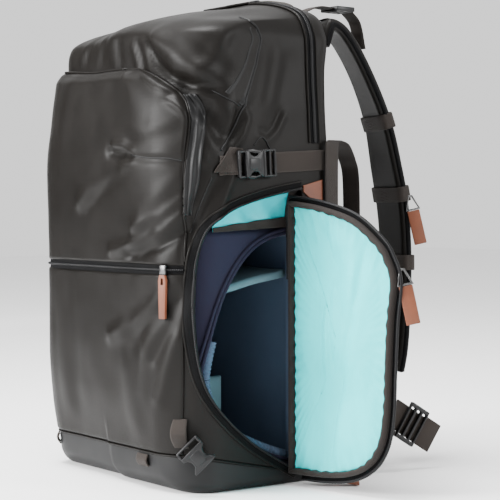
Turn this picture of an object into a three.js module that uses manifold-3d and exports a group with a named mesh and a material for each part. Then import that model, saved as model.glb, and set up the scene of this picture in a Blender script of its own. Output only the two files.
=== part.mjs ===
// A camera backpack on its base with its side door open: sewn and moulded pieces, each on its own.
// Millimetres. +Z is up, -Y is the bag's front, +Y is the wearer's side and +X the side with the camera door.
// The origin is on the floor, under the middle of the bag.
import * as THREE from 'three';
import { mergeVertices } from 'three/addons/utils/BufferGeometryUtils.js';
import Module from 'manifold-3d';

const wasm = await Module();
wasm.setup();

// Driving sizes of the bag
const BAG_HEIGHT = 480;
const BAG_WIDTH = 280;
const FRONT_REACH = 99;
const BACK_REACH = 93;
const FRONT_CORNER = 46;
const BACK_CORNER = 28;
const WALL = 3;
const FLOOR = 5;
const CLOTH = 1.8;
const GAP = 0.3;
const FOLD_DEPTH = 3.5;
const FOLD_WIDTH = 14;
const BASE_TUCK = 5;

// Camera door and its opening in the +X side
const HINGE_Y = 43;
const OPENING_LOW = 13;
const OPENING_HEIGHT = 274;
const OPENING_DEPTH = 120;
const TAPE_WIDTH = 8;
const DOOR_ANGLE = 100;
const DOOR_REACH = 131;
const DOOR_HEIGHT = 265;
const DOOR_THICKNESS = 5;
const DOOR_RIM = 14;
const DOOR_RIM_WALL = 4;
const LINING = 1.2;

// Seam between the base and the upper cloth
const SEAM_FRONT_HEIGHT = 35;
const SEAM_BACK_HEIGHT = 10;

// Front pocket and its zip
const POCKET_TOP = 405;
const POCKET_CORNER = 56;
const POCKET_WRAP = 41;
const POCKET_PUFF = 8;
const POCKET_LIP = 10;
const POCKET_LOWER_PUFF = 5;
const ZIP_HEIGHT = 211;
const ZIP_WIDTH = 9;
const GUSSET_WIDTH = 14;
const GUSSET_LOW = 262;

// Camera insert and its dividers
const INSERT_WIDTH = 232;
const INSERT_DEPTH = 146;
const INSERT_HEIGHT = 240;
const INSERT_CORNER = 34;
const INSERT_WALL = 9;
const INSERT_LOW = FLOOR + 5;
const PIPING = 5;
const DIVIDER = 8;
const SHELF_HEIGHT = 200;
const SHELF_SAG = 19;
const LOWER_DIVIDER_HEIGHT = 82;

// Webbing, buckles and straps
const WEBBING = 20;
const WEBBING_THICKNESS = 1.6;
const STRAP_HEIGHT = 310;
const STRAP_RISE = 8;
const BUCKLE_LENGTH = 44;
const BUCKLE_WIDTH = 27;
const BUCKLE_THICKNESS = 8;
const STRAP_TAB = 24;
const SHOULDER_WIDTH = 56;
const SHOULDER_TURN = 24;
const SHOULDER_THICKNESS = 13;
const SHOULDER_OFFSET = 88;
const LOCK_LENGTH = 24;
const LOCK_THICKNESS = 5;
const LIFTER_WIDTH = 18;
const LOWER_WIDTH = 20;
const PAD_THICKNESS = 12;
const PAD_WIDTH = 84;
const PAD_LOW = 128;
const PAD_HEIGHT = 280;
const PAD_SPACING = 98;
const LUMBAR_WIDTH = 204;
const LUMBAR_LOW = 28;
const LUMBAR_HEIGHT = 88;
const HIP_HEIGHT = 86;
const HIP_TIP = 56;
const HIP_THICKNESS = 12;
const HIP_WEBBING = 31;
const HIP_TAIL = 19;
const HIP_REACH = 50;
const HANDLE_SPAN = 104;
const HANDLE_RISE = 18;
const HANDLE_THICKNESS = 5;
const LOOP_DROP = 250;
const LOOP_REACH = 42;
const LIFTER_LEAD = 52;
const LIFTER_REACH = 40;

// Zip pulls
const PULL_LENGTH = 36;
const PULL_WIDTH = 13;
const PULL_THICKNESS = 3;
const RING = 16;
const RING_WIRE = 1.8;
const CORD_PULL = 32;

const COLOURS = {
  shell: 0x2b2a28, base: 0x232323, lining: 0x6fe3de, binding: 0x3a3331, tape: 0x161616, insert: 0x2a2c3a,
  divider: 0x7d99a0, webbing: 0x4a413c, plastic: 0x1c1c1e, leather: 0xb0624a, mesh: 0x1b1a1f, metal: 0xb9b6ae,
};

// Sections of the main body from the floor to the roof, as shares of the bag's own sizes.
const SECTION_COLUMNS = ['height', 'halfWidth', 'front', 'back', 'frontCorner', 'backCorner'];
const SECTIONS = [
  [0.000, 0.925, 0.750, 0.860, 0.55, 0.80],
  [0.012, 0.950, 0.830, 0.910, 0.72, 0.90],
  [0.033, 0.950, 0.905, 0.945, 0.88, 0.95],
  [0.083, 0.950, 0.930, 0.970, 1.00, 1.00],
  [0.250, 0.985, 0.955, 0.990, 1.00, 1.00],
  [0.438, 1.000, 0.965, 1.000, 1.00, 1.00],
  [0.625, 1.000, 0.965, 1.000, 1.04, 1.00],
  [0.750, 0.980, 0.860, 0.990, 1.08, 1.05],
  [0.844, 0.955, 0.790, 0.990, 0.96, 0.95],
  [0.908, 0.940, 0.735, 0.990, 0.84, 0.65],
  [0.933, 0.910, 0.560, 0.985, 0.98, 0.60],
  [0.950, 0.875, 0.300, 0.980, 1.60, 0.58],
  [0.963, 0.825, 0.040, 0.965, 1.50, 0.56],
  [0.973, 0.755, -0.180, 0.950, 1.15, 0.53],
  [0.983, 0.640, -0.380, 0.920, 0.70, 0.48],
  [0.994, 0.460, -0.520, 0.870, 0.38, 0.38],
  [1.000, 0.300, -0.600, 0.800, 0.13, 0.28],
].map((row) => Object.fromEntries(SECTION_COLUMNS.map((name, i) => [name, row[i]])));

// Main folds of the cloth: two ends (around the bag, up it) as shares of half the width and of the height,
// then depth and width as shares of FOLD_DEPTH and FOLD_WIDTH. Around is measured from the front's middle.
const FOLD_COLUMNS = ['around1', 'up1', 'around2', 'up2', 'depth', 'width'];
const FOLDS = [
  [0.40, 0.877, 0.79, 0.810, -1.2, 0.8],
  [0.79, 0.810, 1.02, 0.792, -1.0, 0.8],
  [0.46, 0.903, 0.86, 0.835, 0.9, 0.9],
  [0.77, 0.787, 0.97, 0.750, -1.0, 0.7],
  [0.97, 0.750, 1.13, 0.702, -1.0, 0.7],
  [1.16, 0.627, 1.01, 0.533, -1.3, 0.7],
  [1.24, 0.625, 1.10, 0.537, 1.0, 0.7],
  [1.27, 0.754, 1.20, 0.683, -0.9, 0.6],
  [0.94, 0.519, 0.44, 0.464, -1.0, 1.0],
  [0.94, 0.419, 0.43, 0.302, -0.9, 1.3],
  [0.95, 0.375, 0.60, 0.290, 0.7, 1.1],
  [0.44, 0.682, 0.00, 0.594, -0.6, 1.2],
].map((row) => Object.fromEntries(FOLD_COLUMNS.map((name, i) => [name, row[i]])));

// Outline of the side opening as (forward, up) shares, from the hinge's foot round the front to its top.
const OPENING_OUTLINE = [
  [0.00, 0.000], [0.26, 0.062], [0.51, 0.131], [0.80, 0.245], [0.95, 0.383], [1.00, 0.624], [0.945, 0.825],
  [0.76, 0.911], [0.42, 0.964], [0.00, 1.000],
];
// The insert's own opening, as shares of its depth and height.
const INSERT_OUTLINE = [
  [0.88, 0.035], [0.62, 0.085], [0.33, 0.170], [0.17, 0.280], [0.12, 0.400], [0.18, 0.570], [0.27, 0.725],
  [0.42, 0.860], [0.60, 0.940], [0.88, 0.985],
];

// Outline of the door from the hinge's foot round its free edge to the hinge's top: (away, up) as shares.
const DOOR_OUTLINE = [
  [0.00, 0.000], [0.35, 0.004], [0.60, 0.024], [0.78, 0.072], [0.89, 0.150], [0.935, 0.260], [0.95, 0.400],
  [0.97, 0.580], [1.00, 0.720], [0.94, 0.800], [0.85, 0.856], [0.62, 0.935], [0.30, 0.980], [0.00, 1.000],
];

const lerp = (a, b, t) => a + (b - a) * t;
const clamp = (v, low, high) => Math.min(high, Math.max(low, v));
const ramp = (v) => clamp(v, 0, 1) ** 2 * (3 - 2 * clamp(v, 0, 1));

// Smooth value of a column of SECTIONS at a height share.
function sectionValue(name, h) {
  const last = SECTIONS.length - 1;
  let i = 0;
  while (i < last - 1 && SECTIONS[i + 1].height < h) i += 1;
  const slope = (k) => {
    const a = SECTIONS[Math.max(0, k - 1)];
    const b = SECTIONS[Math.min(last, k + 1)];
    return (b[name] - a[name]) / (b.height - a.height);
  };
  const from = SECTIONS[i];
  const to = SECTIONS[i + 1];
  const span = to.height - from.height;
  const t = clamp((h - from.height) / span, 0, 1);
  const t2 = t * t;
  const t3 = t2 * t;
  return from[name] * (2 * t3 - 3 * t2 + 1) + to[name] * (3 * t2 - 2 * t3)
    + span * (slope(i) * (t3 - 2 * t2 + t) + slope(i + 1) * (t3 - t2));
}

function sectionAt(z) {
  const h = z / BAG_HEIGHT;
  return {
    w: sectionValue('halfWidth', h) * BAG_WIDTH / 2,
    f: -sectionValue('front', h) * FRONT_REACH,
    b: sectionValue('back', h) * BACK_REACH,
    rf: sectionValue('frontCorner', h) * FRONT_CORNER,
    rb: sectionValue('backCorner', h) * BACK_CORNER,
  };
}

// Lengths of the stretches round half a section, from the front's middle to the back's middle.
function stretches(s) {
  return [s.w - s.rf, s.rf * Math.PI / 2, (s.b - s.rb) - (s.f + s.rf), s.rb * Math.PI / 2, s.w - s.rb];
}

function foldHeight(arc, z) {
  let sum = 0;
  for (const fold of FOLDS) {
    const a = new THREE.Vector2(fold.around1 * BAG_WIDTH / 2, fold.up1 * BAG_HEIGHT);
    const b = new THREE.Vector2(fold.around2 * BAG_WIDTH / 2, fold.up2 * BAG_HEIGHT);
    const along = b.clone().sub(a);
    const p = new THREE.Vector2(arc, z).sub(a);
    const t = clamp(p.dot(along) / along.lengthSq(), 0, 1);
    const away = p.sub(along.multiplyScalar(t)).length() / (fold.width * FOLD_WIDTH);
    sum += fold.depth * FOLD_DEPTH * Math.exp(-away * away);
  }
  return sum;
}

// Point on the bag's outer cloth at a height and an arc length from the front's middle, pushed out by off.
function onBag(z, arc, off) {
  const s = sectionAt(z);
  const parts = stretches(s);
  const side = Math.sign(arc) || 1;
  const lift = off + (arc > 0 ? foldHeight(arc, z) : -BASE_TUCK * (1 - ramp(z / (2 * SEAM_FRONT_HEIGHT))));
  let rest = Math.abs(arc);
  let x;
  let y;
  let nx = 0;
  let ny = -1;
  if (rest <= parts[0]) {
    x = rest;
    y = s.f;
  } else if ((rest -= parts[0]) <= parts[1]) {
    const turn = rest / s.rf;
    nx = Math.sin(turn);
    ny = -Math.cos(turn);
    x = s.w - s.rf + s.rf * nx;
    y = s.f + s.rf + s.rf * ny;
  } else if ((rest -= parts[1]) <= parts[2]) {
    nx = 1;
    ny = 0;
    x = s.w;
    y = s.f + s.rf + rest;
  } else if ((rest -= parts[2]) <= parts[3]) {
    const turn = rest / s.rb;
    nx = Math.cos(turn);
    ny = Math.sin(turn);
    x = s.w - s.rb + s.rb * nx;
    y = s.b - s.rb + s.rb * ny;
  } else {
    ny = 1;
    x = Math.max(0, s.w - s.rb - (rest - parts[3]));
    y = s.b;
  }
  return new THREE.Vector3(side * (x + nx * lift), y + ny * lift, z);
}

// Arc length, from the front's middle, of a place on the side at a given y.
function arcAtSide(z, y) {
  const s = sectionAt(z);
  const parts = stretches(s);
  const frontTurn = s.f + s.rf;
  const backTurn = s.b - s.rb;
  if (y < frontTurn) return parts[0] + s.rf * Math.acos(clamp((frontTurn - y) / s.rf, 0, 1));
  if (y <= backTurn) return parts[0] + parts[1] + (y - frontTurn);
  return parts[0] + parts[1] + parts[2] + s.rb * Math.asin(clamp((y - backTurn) / s.rb, 0, 1));
}

const onSide = (y, z, off) => onBag(z, arcAtSide(z, y), off);
const frontSeamArc = (z) => sectionAt(z).w - sectionAt(z).rf * (1 - THREE.MathUtils.degToRad(POCKET_WRAP));

// Solids and geometries
function weld(geometry) {
  const bare = geometry.clone();
  for (const name of Object.keys(bare.attributes)) {
    if (name !== 'position') bare.deleteAttribute(name);
  }
  return mergeVertices(bare, 1e-3);
}

function solidOf(geometry) {
  const welded = weld(geometry);
  const made = new wasm.Manifold(new wasm.Mesh({
    numProp: 3,
    vertProperties: new Float32Array(welded.attributes.position.array),
    triVerts: new Uint32Array(welded.index.array),
  }));
  return made;
}

// The geometry of a solid's largest piece, so that no crumb of a cut is left.
function geometryOf(solid) {
  const pieces = solid.decompose().sort((a, b) => b.volume() - a.volume());
  const mesh = pieces[0].getMesh();
  const geometry = new THREE.BufferGeometry();
  geometry.setAttribute('position', new THREE.BufferAttribute(new Float32Array(mesh.vertProperties), 3));
  geometry.setIndex([...mesh.triVerts]);
  return geometry;
}

function signedVolume(positions, index) {
  let sum = 0;
  const [a, b, c] = [new THREE.Vector3(), new THREE.Vector3(), new THREE.Vector3()];
  for (let i = 0; i < index.length; i += 3) {
    a.fromArray(positions, index[i] * 3);
    b.fromArray(positions, index[i + 1] * 3);
    c.fromArray(positions, index[i + 2] * 3);
    sum += a.dot(b.cross(c)) / 6;
  }
  return sum;
}

function closedGeometry(points, quads, triangles = []) {
  const positions = points.flatMap((p) => [p.x, p.y, p.z]);
  const index = quads.flatMap(([a, b, c, d]) => [a, b, c, a, c, d]).concat(triangles.flat());
  if (signedVolume(positions, index) < 0) {
    for (let i = 0; i < index.length; i += 3) [index[i + 1], index[i + 2]] = [index[i + 2], index[i + 1]];
  }
  const geometry = new THREE.BufferGeometry();
  geometry.setAttribute('position', new THREE.BufferAttribute(new Float32Array(positions), 3));
  geometry.setIndex(index);
  return geometry;
}

// A wall over a grid of u and v: place(u, v, 0) is its inner face and place(u, v, 1) its outer one.
// When it is looped, u runs round and the last column meets the first.
function wall(columns, rows, place, looped = false) {
  const across = looped ? columns : columns + 1;
  const points = [];
  for (let face = 0; face < 2; face += 1) {
    for (let j = 0; j <= rows; j += 1) {
      for (let i = 0; i < across; i += 1) points.push(place(i / columns, j / rows, face));
    }
  }
  const layer = across * (rows + 1);
  const at = (i, j, face) => face * layer + j * across + (i % across);
  const quads = [];
  for (let j = 0; j < rows; j += 1) {
    for (let i = 0; i < columns; i += 1) {
      quads.push([at(i, j, 0), at(i, j + 1, 0), at(i + 1, j + 1, 0), at(i + 1, j, 0)]);
      quads.push([at(i, j, 1), at(i + 1, j, 1), at(i + 1, j + 1, 1), at(i, j + 1, 1)]);
    }
  }
  for (let i = 0; i < columns; i += 1) {
    quads.push([at(i, 0, 0), at(i + 1, 0, 0), at(i + 1, 0, 1), at(i, 0, 1)]);
    quads.push([at(i, rows, 0), at(i, rows, 1), at(i + 1, rows, 1), at(i + 1, rows, 0)]);
  }
  for (let j = 0; j < rows && !looped; j += 1) {
    quads.push([at(0, j, 0), at(0, j, 1), at(0, j + 1, 1), at(0, j + 1, 0)]);
    quads.push([at(columns, j, 0), at(columns, j + 1, 0), at(columns, j + 1, 1), at(columns, j, 1)]);
  }
  return closedGeometry(points, quads);
}

// A closed body through rings of points, with a flat fan at each end.
function loft(rings) {
  const across = rings[0].length;
  const points = rings.flat();
  const quads = [];
  for (let j = 0; j + 1 < rings.length; j += 1) {
    for (let i = 0; i < across; i += 1) {
      const n = (i + 1) % across;
      quads.push([j * across + i, j * across + n, (j + 1) * across + n, (j + 1) * across + i]);
    }
  }
  const triangles = [];
  const sum = (ring) => ring.reduce((total, p) => total.add(p), new THREE.Vector3());
  const middle = (ring) => sum(ring).divideScalar(ring.length);
  const top = (rings.length - 1) * across;
  points.push(middle(rings[0]), middle(rings[rings.length - 1]));
  for (let i = 0; i < across; i += 1) {
    const n = (i + 1) % across;
    triangles.push([points.length - 2, n, i]);
    triangles.push([points.length - 1, top + i, top + n]);
  }
  return closedGeometry(points, quads, triangles);
}

// A flat strap along a path, with its width along one direction. Its inner face lies on the path.
function ribbon(path, steps, widthAlong, width, thickness, outward) {
  const curve = new THREE.CatmullRomCurve3(path, false, 'centripetal');
  return wall(steps, 1, (u, v, face) => {
    const p = curve.getPoint(u);
    const normal = curve.getTangent(u).cross(widthAlong(u)).normalize().multiplyScalar(outward);
    return p.addScaledVector(widthAlong(u), (v - 0.5) * width(u)).addScaledVector(normal, face * thickness);
  });
}

function prism(outline, thickness) {
  const shape = new THREE.Shape(outline.map(([x, y]) => new THREE.Vector2(x, y)));
  return new THREE.ExtrudeGeometry(shape, { depth: thickness, bevelEnabled: false });
}

function plate(outline, holes, thickness) {
  const cut = (solid, hole) => solid.subtract(solidOf(prism(hole, thickness + 2).translate(0, 0, -1)));
  return geometryOf(holes.reduce(cut, solidOf(prism(outline, thickness))));
}

const rectangle = (w, h, x = 0, y = 0) => [
  [x - w / 2, y - h / 2], [x + w / 2, y - h / 2], [x + w / 2, y + h / 2], [x - w / 2, y + h / 2],
];

// Places a flat piece: its own x goes along one direction and its own y along another.
function placed(geometry, origin, along, up) {
  const x = along.clone().normalize();
  const z = x.clone().cross(up).normalize();
  const y = z.clone().cross(x);
  const matrix = new THREE.Matrix4().makeBasis(x, y, z).setPosition(origin);
  return geometry.clone().applyMatrix4(matrix);
}

function mirrored(geometry) {
  const copy = weld(geometry.clone().applyMatrix4(new THREE.Matrix4().makeScale(-1, 1, 1)));
  const index = [...copy.index.array];
  for (let i = 0; i < index.length; i += 3) [index[i + 1], index[i + 2]] = [index[i + 2], index[i + 1]];
  copy.setIndex(index);
  return copy;
}

const V = (x, y, z) => new THREE.Vector3(x, y, z);
const X = V(1, 0, 0);
const Y = V(0, 1, 0);
const Z = V(0, 0, 1);

// The bag's rings: how many steps each stretch takes, and the heights of the rows.
const STRETCH_STEPS = [5, 7, 7, 3, 3];
const LOW_ROWS = [0, 0.008, 0.020, 0.034, 0.060, 0.085];
const MIDDLE_ROWS = { from: 0.13, to: 0.56, count: 6 };
const UPPER_ROWS = { from: 0.595, to: 0.908, count: 11 };
const ROOF_ROWS = [0.921, 0.933, 0.942, 0.950, 0.957, 0.963, 0.968, 0.973, 0.978, 0.983, 0.988, 0.994, 1];

function rowShares() {
  const place = ({ from, to, count }, i) => lerp(from, to, i / (count - 1));
  const run = (part) => Array.from({ length: part.count }, (_, i) => place(part, i));
  return [...LOW_ROWS, ...run(MIDDLE_ROWS), ...run(UPPER_ROWS), ...ROOF_ROWS];
}

function ringArcs(z) {
  const parts = stretches(sectionAt(z));
  const half = [0];
  let start = 0;
  parts.forEach((length, k) => {
    for (let i = 1; i <= STRETCH_STEPS[k]; i += 1) half.push(start + length * i / STRETCH_STEPS[k]);
    start += length;
  });
  return [...half, ...half.slice(1, -1).reverse().map((arc) => -arc)];
}

// The bag's whole outer form grown by off, between a low and a high end.
function bagForm(off, low, high) {
  return loft(rowShares().map((share) => {
    const z = share * BAG_HEIGHT;
    return ringArcs(z).map((arc) => onBag(z, arc, off).setZ(lerp(low, high, share)));
  }));
}

const bagSeat = solidOf(bagForm(GAP, -GAP, BAG_HEIGHT + GAP));
const clearOfBag = (geometry) => geometryOf(solidOf(geometry).subtract(bagSeat));

function smoothOutline(shares, toPoint, steps) {
  const curve = new THREE.CatmullRomCurve3(shares.map(([a, b]) => V(...toPoint(a, b), 0)));
  const points = Array.from({ length: steps + 1 }, (_, i) => curve.getPoint(i / steps));
  return points.map((p) => [p.x, p.y]);
}

const OUTLINE_STEPS = 26;
const openingPoint = (forward, up) => [HINGE_Y - forward * OPENING_DEPTH, OPENING_LOW + up * OPENING_HEIGHT];
const openingOutline = smoothOutline(OPENING_OUTLINE, openingPoint, OUTLINE_STEPS);

// Moves an outline outwards by a distance; the middle tells which way is out.
function grown(outline, distance, middle) {
  return outline.map(([a, b], i) => {
    const [pa, pb] = outline[Math.max(0, i - 1)];
    const [na, nb] = outline[Math.min(outline.length - 1, i + 1)];
    const length = Math.hypot(na - pa, nb - pb);
    const normal = [(nb - pb) / length, -(na - pa) / length];
    const out = Math.sign(normal[0] * (a - middle[0]) + normal[1] * (b - middle[1]));
    return [a + out * normal[0] * distance, b + out * normal[1] * distance];
  });
}

const OPENING_MIDDLE = openingPoint(0.4, 0.5);

function sidePrism(outline, fromX, toX) {
  const shape = new THREE.Shape(outline.map(([y, z]) => new THREE.Vector2(y, z)));
  const geometry = new THREE.ExtrudeGeometry(shape, { depth: toX - fromX, bevelEnabled: false });
  return placed(geometry, V(fromX, 0, 0), Y, Z);
}

function bodyAndBase() {
  const outer = solidOf(bagForm(0, 0, BAG_HEIGHT));
  const hollow = solidOf(bagForm(-WALL, FLOOR, BAG_HEIGHT - WALL));
  const opening = solidOf(sidePrism(openingOutline, BAG_WIDTH / 4, BAG_WIDTH));
  const skin = outer.subtract(hollow).subtract(opening);
  const reach = BAG_WIDTH;
  const seam = (lift) => solidOf(sidePrism([
    [-reach, -reach], [reach, -reach], [reach, SEAM_BACK_HEIGHT + lift], [HINGE_Y, SEAM_BACK_HEIGHT + lift],
    [-FRONT_REACH + FRONT_CORNER / 2, SEAM_FRONT_HEIGHT + lift], [-reach, SEAM_FRONT_HEIGHT + lift],
  ], -reach, reach));
  return {
    body_shell: geometryOf(skin.subtract(seam(GAP))),
    base_boot: geometryOf(skin.intersect(seam(0))),
  };
}

// Front pocket: a bulging wall over the front that wraps part of each corner.
function pocketHalfSpan(z) {
  const above = z - (POCKET_TOP - POCKET_CORNER);
  const inset = above > 0 ? POCKET_CORNER - Math.sqrt(Math.max(0, POCKET_CORNER ** 2 - above ** 2)) : 0;
  return frontSeamArc(z) - inset;
}

function pocketPuff(a, z) {
  const zipShare = ramp((z - ZIP_HEIGHT) / (BAG_HEIGHT * 0.22));
  const full = lerp(POCKET_LOWER_PUFF, POCKET_PUFF, zipShare);
  const sides = ramp((1 - Math.abs(a)) / 0.5);
  const foot = ramp((z - SEAM_FRONT_HEIGHT) / 60);
  const lip = POCKET_LIP * ramp((z - GUSSET_LOW) / (POCKET_TOP - GUSSET_LOW - POCKET_CORNER / 2));
  return (lip + full * sides * foot) * lerp(0.6, 1, ramp((POCKET_TOP - z) / 12));
}

function pocketWall(low, high, columns, rows, inner, outer) {
  return wall(columns, rows, (u, v, face) => {
    const z = lerp(low, high, v);
    const a = u * 2 - 1;
    const puff = pocketPuff(a, z);
    const rim = Math.min((1 - Math.abs(a)) * columns / 2, (POCKET_TOP - z) / 8);
    return onBag(z, a * pocketHalfSpan(z), face ? puff + outer : inner + puff * clamp(rim, 0, 1));
  });
}

function frontPocket() {
  const zipTop = ZIP_HEIGHT + ZIP_WIDTH / 2;
  const zipFoot = ZIP_HEIGHT - ZIP_WIDTH / 2;
  const seat = -1;
  const taken = solidOf(openingTape(GAP)).add(solidOf(baseLoop(GAP)));
  const clear = (geometry) => geometryOf(solidOf(geometry).subtract(bagSeat).subtract(taken));
  return {
    pocket_upper: clear(pocketWall(zipTop + GAP, POCKET_TOP, 22, 12, seat, CLOTH + GAP)),
    pocket_lower: clear(pocketWall(SEAM_FRONT_HEIGHT + 2, zipFoot - GAP, 22, 9, seat, CLOTH + GAP)),
    pocket_zip: clear(pocketWall(zipFoot, zipTop, 22, 1, seat, CLOTH / 2)),
  };
}

// Pleated zip strip beside the pocket, on one side.
function gusset() {
  const high = POCKET_TOP - POCKET_CORNER / 2;
  return wall(2, 8, (u, v, face) => {
    const z = lerp(GUSSET_LOW, high, v);
    const start = pocketHalfSpan(z) + GAP * 2;
    const taper = lerp(0.5, 1, ramp(v * 3));
    return onBag(z, start + u * GUSSET_WIDTH * taper, face ? CLOTH + 2 * (1 - u) : -1);
  });
}

function openingTape(extra) {
  const inside = grown(openingOutline, 0.6, OPENING_MIDDLE);
  const outside = grown(openingOutline, TAPE_WIDTH + extra, OPENING_MIDDLE);
  return wall(OUTLINE_STEPS, 1, (u, v, face) => {
    const i = Math.round(u * OUTLINE_STEPS);
    const y = lerp(inside[i][0], outside[i][0], v);
    const z = lerp(inside[i][1], outside[i][1], v);
    const off = face ? CLOTH + GAP + extra * 9 : -1 - extra;
    return onSide(Math.min(y, HINGE_Y - DOOR_THICKNESS - 2), Math.max(z, SEAM_BACK_HEIGHT / 2), off);
  });
}

// The door is built lying in its own plane: p runs from the hinge to the free edge, q runs up.
function doorFrame(geometry) {
  const turn = THREE.MathUtils.degToRad(DOOR_ANGLE);
  const low = OPENING_LOW - 2;
  const foot = sectionAt(low + DOOR_HEIGHT * 0.15).w;
  const lean = sectionAt(low + DOOR_HEIGHT).w - foot;
  const hinge = V(foot + GAP, HINGE_Y - 4 * GAP, low);
  const away = V(Math.sin(turn), -Math.cos(turn), 0);
  return placed(geometry, hinge, away, V(lean, 0, DOOR_HEIGHT));
}

function door() {
  const onBoard = (a, b) => [1 + a * (DOOR_REACH - 1), b * DOOR_HEIGHT];
  const board = smoothOutline(DOOR_OUTLINE, onBoard, OUTLINE_STEPS);
  const middle = [DOOR_REACH * 0.4, DOOR_HEIGHT * 0.5];
  const inset = (distance) => grown(board, -distance, middle)
    .map(([p, q]) => [Math.max(p, 1 + distance), clamp(q, distance, DOOR_HEIGHT - distance)]);
  const rimInner = inset(DOOR_RIM_WALL);
  const liningEdge = inset(DOOR_RIM_WALL + 1.5);
  const rise = DOOR_THICKNESS + GAP;
  const tall = (edge) => solidOf(prism(edge, DOOR_RIM - DOOR_THICKNESS).translate(0, 0, rise));
  const rim = geometryOf(tall(board).subtract(solidOf(prism(rimInner, DOOR_RIM * 2))));
  return {
    door_panel: doorFrame(plate(board, [], DOOR_THICKNESS)),
    door_rim: doorFrame(rim),
    door_lining: doorFrame(plate(liningEdge, [], LINING).translate(0, 0, DOOR_THICKNESS + GAP)),
  };
}

// Rounded block between two heights, for the insert and its hollow.
function roundedBlock(width, depth, corner, low, high) {
  const shape = new THREE.Shape();
  const [hw, hd, r] = [width / 2, depth / 2, corner];
  shape.absarc(hw - r, hd - r, r, 0, Math.PI / 2);
  shape.absarc(-hw + r, hd - r, r, Math.PI / 2, Math.PI);
  shape.absarc(-hw + r, -hd + r, r, Math.PI, Math.PI * 1.5);
  shape.absarc(hw - r, -hd + r, r, Math.PI * 1.5, Math.PI * 2);
  shape.closePath();
  const options = { depth: high - low, bevelEnabled: false, curveSegments: 6 };
  const geometry = new THREE.ExtrudeGeometry(shape, options);
  return weld(geometry.translate(0, 0, low));
}

const insertPoint = (a, b) => [(a - 0.5) * INSERT_DEPTH, INSERT_LOW + b * INSERT_HEIGHT];
const insertOutline = smoothOutline(INSERT_OUTLINE, insertPoint, OUTLINE_STEPS);

function insert() {
  const high = INSERT_LOW + INSERT_HEIGHT;
  const outer = solidOf(roundedBlock(INSERT_WIDTH, INSERT_DEPTH, INSERT_CORNER, INSERT_LOW, high));
  const hollow = solidOf(roundedBlock(
    INSERT_WIDTH - 2 * INSERT_WALL, INSERT_DEPTH - 2 * INSERT_WALL, INSERT_CORNER - INSERT_WALL,
    INSERT_LOW + INSERT_WALL, high - INSERT_WALL,
  ));
  const mouth = solidOf(sidePrism(insertOutline, INSERT_WIDTH / 4, INSERT_WIDTH));
  const face = INSERT_WIDTH / 2;
  const middle = insertPoint(0.55, 0.5);
  const lip = grown(insertOutline, PIPING, middle);
  const piping = wall(OUTLINE_STEPS, 1, (u, v, side) => {
    const i = Math.round(u * OUTLINE_STEPS);
    const [y, z] = v ? lip[i] : insertOutline[i];
    return V(face + GAP + (side ? 3 : 0), y, z);
  });
  return { insert_shell: geometryOf(outer.subtract(hollow).subtract(mouth)), insert_piping: piping };
}

function dividers() {
  const halfX = INSERT_WIDTH / 2 - INSERT_WALL - 2;
  const halfY = INSERT_DEPTH / 2 - INSERT_WALL - GAP;
  const notch = INSERT_CORNER - INSERT_WALL;
  const shelf = wall(8, 8, (u, v, face) => {
    const x = lerp(-halfX, halfX, u);
    const reach = halfY - Math.max(0, Math.abs(x) - (halfX - notch)) * 0.9;
    const y = lerp(-reach, reach, v);
    const sag = SHELF_SAG * ramp(u) * (1 - ramp((v - 0.4) / 0.5));
    return V(x, y, SHELF_HEIGHT - sag + face * DIVIDER);
  });
  const low = INSERT_LOW + INSERT_WALL + GAP;
  const lowerWall = wall(6, 2, (u, v, face) => {
    const y = lerp(-halfY, INSERT_DEPTH * 0.02, u);
    const x = INSERT_WIDTH * 0.24 + 6 * Math.sin(Math.PI * u);
    return V(x + face * DIVIDER, y, lerp(low, low + LOWER_DIVIDER_HEIGHT, v));
  });
  return { divider_shelf: shelf, divider_lower: lowerWall };
}

// Curtain inside the opening's top edge, with its binding. Its two edges are shares of the opening.
const CURTAIN_FOOT = [[0.79, 0.850], [0.00, 0.868]];
const CURTAIN_TOP = [[0.82, 0.905], [0.62, 0.945], [0.35, 0.980], [0.00, 1.012]];
const CURTAIN_PLANE = INSERT_WIDTH / 2 + 7;
const CURTAIN_BINDING = 0.26;

function curtain() {
  const along = (table) => new THREE.CatmullRomCurve3(table.map(([a, b]) => V(0, ...openingPoint(a, b))));
  const [foot, top] = [along(CURTAIN_FOOT), along(CURTAIN_TOP)];
  const sheet = (a, b, off) => {
    const p = foot.getPoint(a).lerp(top.getPoint(a), b);
    const head = onSide(p.y, p.z, -WALL - 2 * GAP - 2 * LINING).x;
    return p.setX(lerp(CURTAIN_PLANE, head, b * b) + off);
  };
  const outer = [[0, 0], [1, 0], [1, 1]];
  const upright = 1 - CURTAIN_BINDING / 3;
  const inner = [[0, CURTAIN_BINDING], [upright, CURTAIN_BINDING], [upright, 1]];
  const onLine = (line, t) => {
    const k = Math.min(1, Math.floor(t * 2));
    return [0, 1].map((i) => lerp(line[k][i], line[k + 1][i], t * 2 - k));
  };
  const strip = wall(16, 1, (u, v, face) => {
    const [from, to] = [onLine(outer, u), onLine(inner, u)];
    return sheet(lerp(from[0], to[0], v), lerp(from[1], to[1], v), LINING + GAP + face * LINING * 0.8);
  });
  return { curtain: wall(10, 4, (u, v, face) => sheet(u, v, face * LINING)), curtain_binding: strip };
}

// Side-release buckle halves, lying in their own plane with x along the strap.
const BUCKLE_SOCKET = 26;
const SLOT = 5;

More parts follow.
